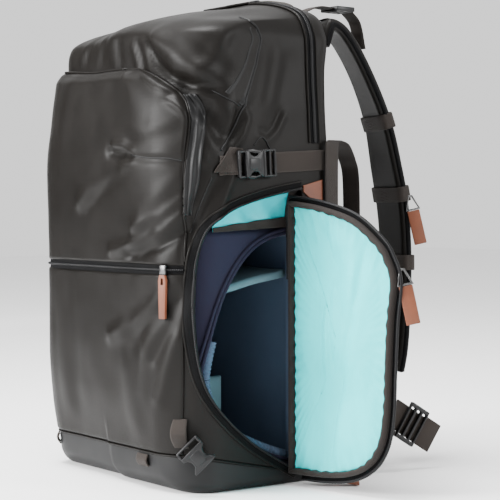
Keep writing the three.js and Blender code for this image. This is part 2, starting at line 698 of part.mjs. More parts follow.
function buckleSocket() {
  const half = BUCKLE_WIDTH / 2;
  const outline = [
    [0, -half + 1], [BUCKLE_SOCKET - 6, -half + 1], [BUCKLE_SOCKET - 3, -half + 6],
    [BUCKLE_SOCKET, -half + 6],
    [BUCKLE_SOCKET, half - 6], [BUCKLE_SOCKET - 3, half - 6], [BUCKLE_SOCKET - 6, half - 1], [0, half - 1],
  ];
  const slot = rectangle(SLOT, WEBBING + 1, SLOT * 0.9, 0);
  return plate(outline, [slot], BUCKLE_THICKNESS);
}

function bucklePlug() {
  const half = BUCKLE_WIDTH / 2;
  const bar = BUCKLE_LENGTH - BUCKLE_SOCKET;
  const outline = [
    [GAP, -half], [bar, -half], [bar, half], [GAP, half], [GAP, half - 4], [5, half - 7],
    [5, -half + 7], [GAP, -half + 4],
  ];
  const slots = [rectangle(4, WEBBING, bar - 4.5, 0), rectangle(3, WEBBING - 8, bar - 10, 0)];
  return plate(outline, slots, BUCKLE_THICKNESS - 1);
}

// The ladder lock's frame: x is along the strap.
function ladderLock(width) {
  const outline = rectangle(LOCK_LENGTH, width + 9);
  const step = LOCK_LENGTH / 3;
  const slots = [-1, 0, 1].map((k) => rectangle(step - 3, width + 1, k * step * 0.95, 0));
  return plate(outline, slots, LOCK_THICKNESS);
}

const BUCKLE_FRONT_Y = -38;

function compression() {
  const rise = (y) => STRAP_RISE * (y - BUCKLE_FRONT_Y) / (BACK_REACH - BUCKLE_FRONT_Y);
  const heightAt = (y) => STRAP_HEIGHT + rise(y);
  const lift = GAP + WEBBING_THICKNESS;
  const x = onSide(0, STRAP_HEIGHT, 0).x + 2.5;
  const end = BUCKLE_FRONT_Y + BUCKLE_LENGTH;
  const frontTab = wall(4, 1, (u, v, face) => {
    const y = lerp(BUCKLE_FRONT_Y - STRAP_TAB, BUCKLE_FRONT_Y - GAP, u);
    const half = WEBBING * lerp(0.35, 0.5, ramp(u * 1.6));
    return onSide(y, heightAt(y) + lerp(-half, half, v), face ? lift : -1);
  });
  const rear = wall(5, 1, (u, v, face) => {
    const y = lerp(end + GAP, BACK_REACH - BACK_CORNER * 0.4, u);
    return onSide(y, heightAt(y) + (v - 0.5) * WEBBING, face ? lift : -1);
  });
  const along = V(0, BACK_REACH - BUCKLE_FRONT_Y, STRAP_RISE).normalize();
  const start = V(x, BUCKLE_FRONT_Y, STRAP_HEIGHT);
  return {
    front: frontTab,
    rear,
    socket: placed(buckleSocket(), start, along, Z),
    plug: placed(bucklePlug(), start.clone().addScaledVector(along, BUCKLE_SOCKET + GAP), along, Z),
  };
}

// Leather tab where the door's top corner meets the body.
function cornerTab() {
  const top = OPENING_LOW + OPENING_HEIGHT;
  return wall(2, 2, (u, v, face) => {
    const y = HINGE_Y + 1 + u * 24;
    const low = lerp(top - 2, top - 20, u);
    return onSide(y, lerp(low, top + 4 + 6 * u, v), face ? CLOTH + GAP : -1);
  });
}

// Small folded webbing tabs on the base seam: place gives a point on the bag from (across, up).
function seamTab(place, width, drop) {
  return wall(2, 2, (u, v, face) => {
    const bulge = 2.5 * Math.sin(Math.PI * v);
    return place((u - 0.5) * width, -v * drop, face ? CLOTH + bulge + GAP : -1);
  });
}

const TAB_WIDTH = 18;
const TAB_DROP = 12;
const MIDDLE_TAB_ARC = 66;
const LEFT_TAB_ARC = 112;

function seamTabs() {
  const high = SEAM_FRONT_HEIGHT - 2;
  const atArc = (arc) => (a, up, off) => onBag(high + up, arc + a, off);
  return {
    tab_middle: seamTab(atArc(MIDDLE_TAB_ARC), TAB_WIDTH, TAB_DROP),
    tab_left: seamTab(atArc(-LEFT_TAB_ARC), TAB_WIDTH, TAB_DROP),
  };
}

// The loose buckle beside its webbing loop at the base of the front corner.
const LOOP_WIDTH = 13;
const LOOP_HEIGHT = 28;
const LOOP_TOP = 71;
const BASE_BUCKLE_HEIGHT = 39;

function baseLoop(extra) {
  const arc = frontSeamArc(LOOP_TOP) - LOOP_WIDTH / 4;
  const across = LOOP_WIDTH + 2 * extra;
  const tall = LOOP_HEIGHT + 2 * extra;
  return wall(1, 8, (u, v, face) => {
    const away = 9 * Math.sin(Math.PI * v);
    const off = face ? CLOTH + away + 3 * extra : (away + 3) * (extra ? 0 : 1) - 4;
    return onBag(LOOP_TOP + extra - v * tall, arc + (u - 0.5) * across, off);
  });
}

function baseBuckle() {
  const arc = frontSeamArc(LOOP_TOP) - LOOP_WIDTH / 4;
  const right = V(0.6, 0.8, 0);
  const down = right.clone().sub(Z).normalize();
  const up = right.clone().add(Z).normalize();
  const centre = onBag(BASE_BUCKLE_HEIGHT, arc + WEBBING * 0.63, 9);
  const hang = centre.addScaledVector(down, -BUCKLE_SOCKET / 2);
  return { base_webbing: baseLoop(0), base_buckle: placed(buckleSocket(), hang, down, up) };
}

// Harness. The shoulder strap's route: back as a share of its reach, up as a share of the bag's height.
const SHOULDER_ROUTE = [
  [0.00, 0.908], [0.07, 0.944], [0.18, 0.963], [0.38, 0.944], [0.62, 0.867], [0.83, 0.760], [0.94, 0.648],
  [1.01, 0.558], [1.04, 0.456], [1.03, 0.344], [1.00, 0.254], [0.95, 0.198],
];
const SHOULDER_SPLAY = 6;
const SHOULDER_FLATTEN = 0.45;
const SHOULDER_REACH = 120;

function shoulder() {
  const start = sectionAt(SHOULDER_ROUTE[0][1] * BAG_HEIGHT).b + 2 * GAP;
  const path = SHOULDER_ROUTE.map(([share, high], i) => {
    const splay = lerp(0, SHOULDER_SPLAY, i / (SHOULDER_ROUTE.length - 1));
    return V(SHOULDER_OFFSET + splay, start + share * SHOULDER_REACH, high * BAG_HEIGHT);
  });
  const width = (u) => SHOULDER_WIDTH * (1 - 0.12 * Math.abs(2 * u - 1));
  const curve = new THREE.CatmullRomCurve3(path, false, 'centripetal');
  const turn = THREE.MathUtils.degToRad(SHOULDER_TURN);
  const turnAt = (u) => turn * ramp(u * 4) * lerp(1, SHOULDER_FLATTEN, ramp((u - 0.35) * 4));
  const acrossAt = (u) => X.clone().applyAxisAngle(Z, -turnAt(u));
  const outAt = (u) => curve.getTangent(u).cross(acrossAt(u)).normalize().negate();
  return { pad: ribbon(path, 26, acrossAt, width, SHOULDER_THICKNESS, 1), curve, outAt };
}

// Webbing from the foot of the shoulder strap to the bag's base.
function lowerStrap(curve) {
  const foot = curve.getPoint(1);
  const base = V(LUMBAR_WIDTH / 4 - 3, BACK_REACH - 4, SEAM_FRONT_HEIGHT * 0.45);
  const hang = foot.clone().lerp(base, 0.5).add(V(0, 2, -8));
  const path = [foot.clone().add(V(0, -SHOULDER_THICKNESS / 2, -3 * GAP)), hang, base];
  return ribbon(path, 5, () => X, () => LOWER_WIDTH, WEBBING_THICKNESS, 1);
}

// Load lifter: webbing from the roof's back edge to a lock above the strap, and down to the strap.
function lifter(curve, outAt) {
  const top = BAG_HEIGHT - 8;
  const x = SHOULDER_OFFSET;
  const lock = V(x, sectionAt(BAG_HEIGHT / 2).b + LIFTER_REACH, top);
  const roof = V(x, lock.y - LIFTER_LEAD, top - 6);
  const half = LOCK_LENGTH / 2 + GAP;
  const lead = [roof, V(x, lerp(roof.y, lock.y, 0.4), top + 2), V(x, lock.y - half, lock.z + 2)];
  const seat = curve.getPoint(0.33).addScaledVector(outAt(0.33), WEBBING_THICKNESS + 3);
  const bend = V(x, lerp(lock.y + half, seat.y, 0.75), lerp(lock.z, seat.z, 0.3));
  const tail = [V(x, lock.y + half, lock.z), bend, seat];
  return {
    lead: ribbon(lead, 4, () => X, () => LIFTER_WIDTH, WEBBING_THICKNESS, -1),
    lock: placed(ladderLock(LIFTER_WIDTH), lock, Y, X.clone().negate()),
    tail: ribbon(tail, 5, () => X, () => LIFTER_WIDTH, WEBBING_THICKNESS, -1),
  };
}

function backPads() {
  const pad = (centre, width, low, height, thickness) => wall(6, 8, (u, v, face) => {
    const edge = Math.min(u, 1 - u, (v * height) / width, ((1 - v) * height) / width) * 2;
    const z = low + v * height;
    const swell = thickness * (0.35 + 0.65 * ramp(edge * 2.2));
    return V(centre + (u - 0.5) * width, sectionAt(z).b + GAP + face * swell, z);
  });
  const tallPad = (side) => pad(side * PAD_SPACING / 2, PAD_WIDTH, PAD_LOW, PAD_HEIGHT, PAD_THICKNESS);
  return {
    back_pad_right: clearOfBag(tallPad(1)),
    back_pad_left: clearOfBag(tallPad(-1)),
    lumbar_pad: clearOfBag(pad(0, LUMBAR_WIDTH, LUMBAR_LOW, LUMBAR_HEIGHT, PAD_THICKNESS + 2)),
  };
}

// Route of the hip wing: across as a share of the lumbar pad's width, then back and down as shares of its
// reach.
const HIP_ROUTE = [
  [0.36, 0, 0], [0.50, 0.04, 0], [0.60, 0.24, 0.02], [0.65, 0.56, 0.09], [0.67, 0.96, 0.24],
];
const HIP_LOCK_LEAD = 13;

// Hip belt wing on one side, its lock and the webbing's end.
function hipBelt() {
  const z = LUMBAR_LOW + LUMBAR_HEIGHT / 2;
  const start = sectionAt(z).b + PAD_THICKNESS + HIP_THICKNESS + GAP;
  const path = HIP_ROUTE.map(([side, back, drop]) => V(
    LUMBAR_WIDTH * side, start + HIP_REACH * back, z - HIP_REACH * drop,
  ));
  const wing = ribbon(path, 10, () => Z, (u) => lerp(HIP_HEIGHT, HIP_TIP, ramp(u)), HIP_THICKNESS, 1);
  const curve = new THREE.CatmullRomCurve3(path, false, 'centripetal');
  const tip = curve.getPoint(1);
  const along = curve.getTangent(1).add(V(0, 0, -0.25)).normalize();
  const up = Z.clone().addScaledVector(along, -Z.dot(along)).normalize();
  const out = along.clone().cross(up);
  const lead = LOCK_LENGTH / 2 + HIP_LOCK_LEAD;
  const lockAt = tip.clone().addScaledVector(along, lead).addScaledVector(out, HIP_THICKNESS * 0.3);
  const lock = placed(ladderLock(HIP_WEBBING), lockAt, along, up);
  const tailStart = lockAt.clone().addScaledVector(along, LOCK_LENGTH / 2 + GAP).addScaledVector(out, 2);
  const tail = [0, 0.5, 1].map((t) => tailStart.clone().addScaledVector(along, t * HIP_TAIL));
  return { wing, lock, tail: ribbon(tail, 2, () => up, () => HIP_WEBBING, WEBBING_THICKNESS, 1) };
}

// Webbing loop that hangs beside the back edge: one leg along the side, the other behind it.
function sideLoop() {
  const near = V(BAG_WIDTH / 2 + 0.8, BACK_REACH - 14, 0);
  const far = V(BAG_WIDTH / 2 - BACK_CORNER, BACK_REACH + LOOP_REACH - 4, 0);
  const high = STRAP_HEIGHT + 24;
  const low = high - LOOP_DROP;
  const between = (share, z) => near.clone().lerp(far, share).setZ(z);
  const path = [
    between(0, low), between(0, lerp(high, low, 0.5)), between(0, high - 16), between(0.08, high),
    between(0.42, high - 2), between(0.78, high - 16), between(0.98, high - 44),
    between(1, lerp(high, low, 0.6)), between(1, low),
  ];
  const across = (u) => V(-0.2, 1, 0).lerp(V(1, 0.35, 0), ramp((u - 0.36) * 4)).normalize();
  return clearOfBag(ribbon(path, 20, across, () => WEBBING, WEBBING_THICKNESS, -1));
}

function haulHandle() {
  const z = BAG_HEIGHT * 0.945;
  const y = sectionAt(z).b + 2;
  const half = HANDLE_SPAN / 2;
  const foot = z - 26;
  const path = [
    V(-half, y + 3, foot), V(-half, y + 3, z), V(-half * 0.8, y + 4, z + HANDLE_RISE * 1.35),
    V(0, y + 5, z + HANDLE_RISE * 1.75),
    V(half * 0.8, y + 4, z + HANDLE_RISE * 1.35), V(half, y + 3, z), V(half, y + 3, foot),
  ];
  return clearOfBag(ribbon(path, 22, () => Y, () => WEBBING * 0.9, HANDLE_THICKNESS, 1).translate(0, 4, 0));
}

// Leather tab pull and its wire ring, lying in one plane: x hangs down the pull.
function ringPlate() {
  const half = RING / 2;
  const outline = [[0, -2.5], [RING, -half], [RING, half], [0, 2.5]];
  const w = RING_WIRE;
  const hole = [[w, -1], [RING - w, -half + w * 1.3], [RING - w, half - w * 1.3], [w, 1]];
  return plate(outline, [hole], RING_WIRE);
}

function pull(at, down, facing) {
  const tab = plate(rectangle(PULL_LENGTH, PULL_WIDTH, RING + PULL_LENGTH / 2 + GAP, 0), [], PULL_THICKNESS);
  const side = facing.clone().cross(down);
  const out = down.clone().cross(side).normalize();
  return {
    ring: placed(ringPlate(), at.clone().addScaledVector(out, (PULL_THICKNESS - RING_WIRE) / 2), down, side),
    tab: placed(tab, at, down, side),
  };
}

// The three leather pulls on rings: on the shoulder strap, on the door's free edge and at its foot.
function hangingPulls(curve) {
  const facing = V(0.8, -0.6, 0);
  const strapAt = curve.getPoint(0.6).add(V(SHOULDER_WIDTH / 2 + 0.2, -6, -3));
  const edgePoint = V(DOOR_REACH + 2.4, DOOR_HEIGHT * 0.765, DOOR_THICKNESS);
  const edge = doorFrame(new THREE.BufferGeometry().setFromPoints([edgePoint]));
  const doorAt = new THREE.Vector3().fromBufferAttribute(edge.attributes.position, 0);
  const footAt = V(BAG_WIDTH / 2 + 8, HINGE_Y - 1, OPENING_LOW - 4.7);
  const slope = (footAt.z - GAP) / (RING + PULL_LENGTH);
  return {
    strap: pull(strapAt, V(0.12, 0.2, -1).normalize(), facing),
    door: pull(doorAt, V(0.15, 0.15, -1).normalize(), facing),
    foot: pull(footAt, V(0.62, 0.78, -slope).normalize(), Z),
  };
}

// Zip that runs up each side of the back panel and over the roof.
const REAR_ZIP_Y = 60;
const REAR_ZIP_WIDTH = 10;
const REAR_ZIP_LOW = 333;
const ROOF_SHARE = 0.8;

function skinAt(side, y, z, off) {
  const at = (b, c) => onBag(c, side * arcAtSide(c, b), 0);
  const up = at(y, Math.min(z + 1, BAG_HEIGHT)).sub(at(y, z - 1));
  const along = at(y + 1, z).sub(at(y - 1, z));
  return at(y, z).addScaledVector(along.cross(up).normalize(), side * off);
}

function rearZip() {
  const top = BAG_HEIGHT - 1;
  return wall(48, 1, (u, v, face) => {
    const side = u < 0.5 ? 1 : -1;
    const share = 1 - Math.abs(2 * u - 1);
    const y = REAR_ZIP_Y + (v - 0.5) * REAR_ZIP_WIDTH;
    const z = lerp(REAR_ZIP_LOW, top, Math.sin(clamp(share / ROOF_SHARE, 0, 1) * Math.PI / 2));
    const p = skinAt(side, y, z, face ? CLOTH + GAP : -1);
    const across = 1 - clamp((share - ROOF_SHARE) / (1 - ROOF_SHARE), 0, 1);
    return V(p.x * across, p.y, share > ROOF_SHARE ? BAG_HEIGHT + (face ? CLOTH + GAP : -1) : p.z);
  });
}

function pocketPull() {
  const arc = frontSeamArc(ZIP_HEIGHT) - 20;
  const z = ZIP_HEIGHT;
  const lift = pocketPuff(arc / pocketHalfSpan(z), z) + CLOTH + GAP * 3;
  const at = onBag(z, arc, lift);
  const out = onBag(z, arc, lift + 10).sub(at).normalize();
  const along = Z.clone().negate();
  const side = out.clone().cross(along);
  const slider = placed(plate(rectangle(9, 7), [], 3), at.clone(), along, side);
  const cord = plate(
    [[4.8, -3], [10, -4.5], [14 + CORD_PULL, -3.5], [14 + CORD_PULL, 3.5], [10, 4.5], [4.8, 3]],
    [[[8, -1.2], [14, -1.5], [14, 1.5], [8, 1.2]]], PULL_THICKNESS,
  );
  const cordAt = at.clone().addScaledVector(out, 0.5);
  return { pocket_slider: slider, pocket_pull: placed(cord, cordAt, along, side) };
}

// Every piece with its finish
const pieces = [];
function add(name, geometry, finish, roughness = 0.7, metalness = 0) {
  pieces.push({ name, geometry, finish, roughness, metalness });
}
function addBoth(name, geometry, finish, fit = (g) => g) {
  add(`${name}_right`, fit(geometry), finish);
  add(`${name}_left`, fit(mirrored(geometry)), finish);
}

const { body_shell: bodyShell, base_boot: baseBoot } = bodyAndBase();
add('body_shell', bodyShell, 'shell', 0.45);
add('base_boot', baseBoot, 'base', 0.6);
for (const [name, geometry] of Object.entries(frontPocket())) {
  add(name, geometry, name === 'pocket_zip' ? 'tape' : 'shell');
}
addBoth('gusset', gusset(), 'tape', clearOfBag);
add('opening_tape', clearOfBag(openingTape(0)), 'tape');
const doorParts = door();
add('door_panel', doorParts.door_panel, 'shell');
add('door_rim', doorParts.door_rim, 'binding');
add('door_lining', doorParts.door_lining, 'lining');
for (const [name, geometry] of Object.entries(insert())) add(name, geometry, 'insert');
for (const [name, geometry] of Object.entries(dividers())) add(name, geometry, 'divider');
const curtainParts = curtain();
add('curtain', curtainParts.curtain, 'lining');
add('curtain_binding', curtainParts.curtain_binding, 'binding');
const strap = compression();
addBoth('strap_front', strap.front, 'webbing', clearOfBag);
addBoth('strap_rear', strap.rear, 'webbing', clearOfBag);
addBoth('buckle_socket', strap.socket, 'plastic');
addBoth('buckle_plug', strap.plug, 'plastic');
add('corner_tab', clearOfBag(cornerTab()), 'leather');
for (const [name, geometry] of Object.entries(seamTabs())) add(name, clearOfBag(geometry), 'webbing');
const base = baseBuckle();
add('base_webbing', clearOfBag(base.base_webbing), 'webbing');
add('base_buckle', base.base_buckle, 'plastic');
for (const [name, geometry] of Object.entries(backPads())) add(name, geometry, 'mesh');
const harness = shoulder();
addBoth('shoulder_strap', harness.pad, 'mesh');
addBoth('lower_strap', lowerStrap(harness.curve), 'webbing', clearOfBag);
const load = lifter(harness.curve, harness.outAt);
addBoth('lifter_lead', load.lead, 'webbing', clearOfBag);
addBoth('lifter_lock', load.lock, 'plastic');
addBoth('lifter_tail', load.tail, 'webbing');
const hip = hipBelt();
addBoth('hip_wing', hip.wing, 'mesh');
addBoth('hip_lock', hip.lock, 'plastic');
addBoth('hip_webbing', hip.tail, 'webbing');
add('side_loop', sideLoop(), 'webbing');
add('haul_handle', haulHandle(), 'webbing');
add('rear_zip', clearOfBag(rearZip()), 'tape');
const pulls = hangingPulls(harness.curve);
for (const [name, { ring, tab }] of Object.entries(pulls)) {
  add(`${name}_ring`, ring, 'metal', 0.4, 0.8);
  add(`${name}_pull`, tab, 'leather');
}
for (const [name, geometry] of Object.entries(pocketPull())) {
  add(name, geometry, name === 'pocket_slider' ? 'metal' : 'leather');
}

const bag = new THREE.Group();
for (const { name, geometry, finish, roughness, metalness } of pieces) {
  const material = new THREE.MeshStandardMaterial({ color: COLOURS[finish], roughness, metalness });
  const mesh = new THREE.Mesh(geometry, material);
  mesh.name = name;
  bag.add(mesh);
}

export default bag;
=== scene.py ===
"""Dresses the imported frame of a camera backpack: cloth, zips, webbing, padding, buckles, stage and camera."""
import math

import bmesh
import bpy
import numpy as np
from mathutils import Matrix, Vector, noise


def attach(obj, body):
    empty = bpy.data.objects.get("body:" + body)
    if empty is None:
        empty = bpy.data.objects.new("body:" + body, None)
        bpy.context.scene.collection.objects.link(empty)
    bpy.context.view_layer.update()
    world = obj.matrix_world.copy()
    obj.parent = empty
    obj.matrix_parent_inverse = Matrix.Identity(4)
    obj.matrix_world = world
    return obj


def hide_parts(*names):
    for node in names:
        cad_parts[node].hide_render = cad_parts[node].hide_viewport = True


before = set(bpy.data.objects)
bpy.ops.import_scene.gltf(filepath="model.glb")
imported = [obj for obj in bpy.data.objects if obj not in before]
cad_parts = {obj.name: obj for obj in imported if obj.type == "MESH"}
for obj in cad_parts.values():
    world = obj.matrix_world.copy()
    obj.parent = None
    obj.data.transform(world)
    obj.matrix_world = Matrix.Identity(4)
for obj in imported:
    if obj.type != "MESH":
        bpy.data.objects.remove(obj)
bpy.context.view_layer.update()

bl_info = {
    "name": "Camera backpack",
    "version": (1, 0, 0),
    "blender": (4, 5, 0),
    "location": "3D View > Sidebar > Backpack",
    "description": "Builds the cloth, zips, webbing and padding of a camera backpack around its frame",
    "category": "Object",
}

MM = 0.001

# Sizes in millimetres and angles in radians, as in the part's own source
BAG_HEIGHT = 480
BAG_WIDTH = 280
FRONT_REACH = 99
BACK_REACH = 93
FRONT_CORNER = 46
BACK_CORNER = 28
BASE_TUCK = 5
FOLD_DEPTH = 3.5
FOLD_WIDTH = 14
HINGE_Y = 43
OPENING_LOW = 13
OPENING_HEIGHT = 274
OPENING_DEPTH = 120
TAPE_WIDTH = 8
DOOR_ANGLE = math.radians(100)
DOOR_REACH = 131
DOOR_HEIGHT = 265
SEAM_FRONT_HEIGHT = 35
SEAM_BACK_HEIGHT = 10
POCKET_TOP = 405
POCKET_CORNER = 56
POCKET_WRAP = math.radians(41)
POCKET_PUFF = 8
POCKET_LIP = 10
POCKET_LOWER_PUFF = 5
ZIP_HEIGHT = 211
ZIP_WIDTH = 9
GUSSET_WIDTH = 14
GUSSET_LOW = 262
INSERT_WIDTH = 232
INSERT_DEPTH = 146
INSERT_HEIGHT = 240
INSERT_CORNER = 34
INSERT_WALL = 9
INSERT_LOW = 10
SHELF_HEIGHT = 200
SHELF_SAG = 19
DIVIDER = 8
WEBBING = 20
STRAP_HEIGHT = 310
STRAP_RISE = 8
BUCKLE_FRONT_Y = -38
BUCKLE_LENGTH = 44
SHOULDER_WIDTH = 56
SHOULDER_TURN = math.radians(24)
SHOULDER_FLATTEN = 0.45
SHOULDER_THICKNESS = 13
SHOULDER_OFFSET = 88
SHOULDER_REACH = 120
SHOULDER_SPLAY = 6
PAD_THICKNESS = 12
PAD_WIDTH = 84
PAD_LOW = 128
PAD_HEIGHT = 280
PAD_SPACING = 98
LUMBAR_WIDTH = 204
LUMBAR_LOW = 28
LUMBAR_HEIGHT = 88
HIP_HEIGHT = 86
HIP_TIP = 56
HIP_THICKNESS = 12
HIP_REACH = 50
REAR_ZIP_Y = 60
REAR_ZIP_LOW = 333
ROOF_SHARE = 0.8

# The scene's own sizes, in millimetres, and shares
BAG_MIDDLE = (0, 0, BAG_HEIGHT / 2)
ROOF_FROM = 400
HOOD_RISE = 6
CREASE_DEPTH = 1.3
CLOTH_OFF = 2.1
POCKET_CORNER_RIGHT = 100
POCKET_CORNER_LEFT = 24
POCKET_TILT = 6
POCKET_TILT_FROM = 320
DOOR_LOW = OPENING_LOW - 2
CURTAIN_PLANE = INSERT_WIDTH / 2 + 7
CURTAIN_BINDING = 0.26
COIL_PITCH = 1.9
BACK_TAPE_WIDTH = 10
LOOP_TOP = 71
STITCH_PITCH = 1.1
STITCH_LENGTH = 0.8
STITCH_THICKNESS = 1.0
STITCH_LIFT = 0.1
STRAP_SIDES = 16

# Distances in metres within which points are made one
WELD_GRID = 2e-6
WELD_PILLOW = 5e-6
WELD_NODE = 2e-5

# Frame nodes: edges flatter than this are dissolved, sharper than this are rounded
FLAT_ANGLE = math.radians(3)
SHARP_ANGLE = math.radians(35)

SIDES = ((1, "right"), (-1, "left"))

# Height share, then half width, front, back, front corner and back corner as shares of their sizes
SECTIONS = np.array([
    [0.000, 0.925, 0.750, 0.860, 0.55, 0.80],
    [0.012, 0.950, 0.830, 0.910, 0.72, 0.90],
    [0.033, 0.950, 0.905, 0.945, 0.88, 0.95],
    [0.083, 0.950, 0.930, 0.970, 1.00, 1.00],
    [0.250, 0.985, 0.955, 0.990, 1.00, 1.00],
    [0.438, 1.000, 0.965, 1.000, 1.00, 1.00],
    [0.625, 1.000, 0.965, 1.000, 1.04, 1.00],
    [0.750, 0.980, 0.860, 0.990, 1.08, 1.05],
    [0.844, 0.955, 0.790, 0.990, 0.96, 0.95],
    [0.908, 0.940, 0.735, 0.990, 0.84, 0.65],
    [0.933, 0.910, 0.560, 0.985, 0.98, 0.60],
    [0.950, 0.875, 0.300, 0.980, 1.60, 0.58],
    [0.963, 0.825, 0.040, 0.965, 1.50, 0.56],
    [0.973, 0.755, -0.180, 0.950, 1.15, 0.53],
    [0.983, 0.640, -0.380, 0.920, 0.70, 0.48],
    [0.994, 0.460, -0.520, 0.870, 0.38, 0.38],
    [1.000, 0.300, -0.600, 0.800, 0.13, 0.28],
])
HEIGHTS, SHARES = SECTIONS[:, 0], SECTIONS[:, 1:]
BELOW = np.maximum(np.arange(len(HEIGHTS)) - 1, 0)
ABOVE = np.minimum(np.arange(len(HEIGHTS)) + 1, len(HEIGHTS) - 1)
SLOPES = (SHARES[ABOVE] - SHARES[BELOW]) / (HEIGHTS[ABOVE] - HEIGHTS[BELOW])[:, None]
SECTION_SIZES = np.array([BAG_WIDTH / 2, -FRONT_REACH, BACK_REACH, FRONT_CORNER, BACK_CORNER])

# The part's own folds of the cloth: two ends (around, up) as shares of half the width and of the height, then depth
# and width as shares of FOLD_DEPTH and FOLD_WIDTH.
FOLDS = np.array([
    [0.40, 0.877, 0.79, 0.810, -1.2, 0.8],
    [0.79, 0.810, 1.02, 0.792, -1.0, 0.8],
    [0.46, 0.903, 0.86, 0.835, 0.9, 0.9],
    [0.77, 0.787, 0.97, 0.750, -1.0, 0.7],
    [0.97, 0.750, 1.13, 0.702, -1.0, 0.7],
    [1.16, 0.627, 1.01, 0.533, -1.3, 0.7],
    [1.24, 0.625, 1.10, 0.537, 1.0, 0.7],
    [1.27, 0.754, 1.20, 0.683, -0.9, 0.6],
    [0.94, 0.519, 0.44, 0.464, -1.0, 1.0],
    [0.94, 0.419, 0.43, 0.302, -0.9, 1.3],
    [0.95, 0.375, 0.60, 0.290, 0.7, 1.1],
    [0.44, 0.682, 0.00, 0.594, -0.6, 1.2],
])

# The scene's finer folds: points (around, up) in the same shares, then ridge, pair and width in millimetres. A pair
# is a ridge on one side of the line and a valley on the other. CREASE_DEPTH scales them all.
FINE_FOLDS = [
    ([(-0.10, 0.932), (0.50, 0.948)], 4.5, 0.0, 24.0),
    ([(0.90, 0.545), (0.76, 0.515), (0.51, 0.490), (0.19, 0.474)], 2.4, 0.0, 6.5),
    ([(0.91, 0.514), (0.72, 0.485), (0.39, 0.467)], -1.8, 0.0, 5.0),
    ([(0.90, 0.580), (0.74, 0.545), (0.49, 0.524)], 1.6, 0.0, 6.0),
    ([(0.85, 0.416), (0.72, 0.380), (0.45, 0.333), (0.16, 0.301)], 2.2, 0.0, 8.0),
    ([(0.88, 0.381), (0.80, 0.324), (0.65, 0.263)], -1.8, 0.0, 7.0),
    ([(0.86, 0.305), (0.76, 0.241), (0.70, 0.184)], 1.8, 0.0, 8.0),
    ([(0.38, 0.872), (0.45, 0.845), (0.59, 0.822), (0.72, 0.803), (0.88, 0.795), (1.00, 0.789)], -1.0, 5.0, 6.0),
    ([(0.46, 0.885), (0.62, 0.850), (0.85, 0.822)], 3.2, 0.0, 13.0),
    ([(0.76, 0.779), (0.89, 0.752), (1.00, 0.722), (1.07, 0.693)], 0.0, 3.6, 5.5),
    ([(0.84, 0.790), (0.97, 0.768), (1.08, 0.735), (1.13, 0.708)], -1.6, 0.0, 5.0),
    ([(0.78, 0.773), (0.88, 0.742), (0.96, 0.702), (1.02, 0.653)], 1.8, 0.0, 5.0),
    ([(0.21, 0.884), (0.26, 0.858), (0.28, 0.838)], 0.0, 3.0, 5.0),
    ([(-0.46, 0.923), (-0.49, 0.880)], 0.0, 2.2, 6.0),
    ([(-0.23, 0.917), (-0.27, 0.872)], 0.0, 1.8, 6.0),
    ([(-0.05, 0.905), (-0.02, 0.860)], 0.0, 1.4, 7.0),
    ([(0.22, 0.927), (0.67, 0.903), (0.89, 0.871)], -1.4, 2.0, 12.0),
    ([(0.92, 0.850), (1.07, 0.822)], 0.0, 2.0, 9.0),
    ([(1.09, 0.893), (0.99, 0.831)], 0.0, 2.0, 10.0),
    ([(1.25, 0.768), (1.30, 0.740), (1.27, 0.704), (1.22, 0.678)], 2.6, 0.0, 4.5),
    ([(1.22, 0.756), (1.20, 0.700)], -1.8, 0.0, 4.0),
    ([(1.43, 0.709), (1.49, 0.701), (1.55, 0.718), (1.59, 0.749)], 0.0, 2.8, 4.5),
    ([(1.56, 0.860), (1.51, 0.758)], 0.0, 1.8, 12.0),
    ([(1.44, 0.880), (1.41, 0.780)], 0.0, -1.6, 10.0),
    ([(1.11, 0.620), (1.01, 0.549)], 0.0, 2.6, 4.5),
    ([(1.17, 0.619), (1.06, 0.536)], 0.0, 2.6, 5.0),
    ([(1.24, 0.610), (1.15, 0.545)], 0.0, 1.6, 6.0),
    ([(0.97, 0.548), (0.95, 0.500)], -1.8, 0.0, 4.0),
    ([(0.19, 0.676), (0.33, 0.668), (0.47, 0.664)], -3.4, 0.0, 4.5),
    ([(0.24, 0.688), (0.36, 0.688), (0.48, 0.672)], 2.0, 0.0, 4.0),
    ([(0.44, 0.664), (0.64, 0.658), (0.88, 0.652)], -1.4, 0.0, 3.5),
    ([(0.47, 0.652), (0.20, 0.623), (-0.06, 0.589), (-0.21, 0.567)], 2.2, 1.6, 9.0),
    ([(0.30, 0.640), (0.05, 0.600), (-0.12, 0.560)], -1.4, 0.0, 8.0),
    ([(0.88, 0.600), (0.62, 0.540), (0.50, 0.480)], 0.0, 2.0, 12.0),
    ([(0.80, 0.720), (0.62, 0.700), (0.45, 0.705)], 0.0, 1.4, 10.0),
    ([(-0.50, 0.420), (-0.43, 0.250), (-0.40, 0.151)], 0.0, 1.6, 16.0),
    ([(0.30, 0.400), (0.42, 0.260), (0.49, 0.139)], 0.0, 1.4, 16.0),
    ([(0.80, 0.420), (0.68, 0.330), (0.60, 0.200)], 0.0, 1.8, 12.0),
    ([(0.90, 0.456), (0.91, 0.498), (0.92, 0.534)], 0.0, 1.8, 4.0),
]

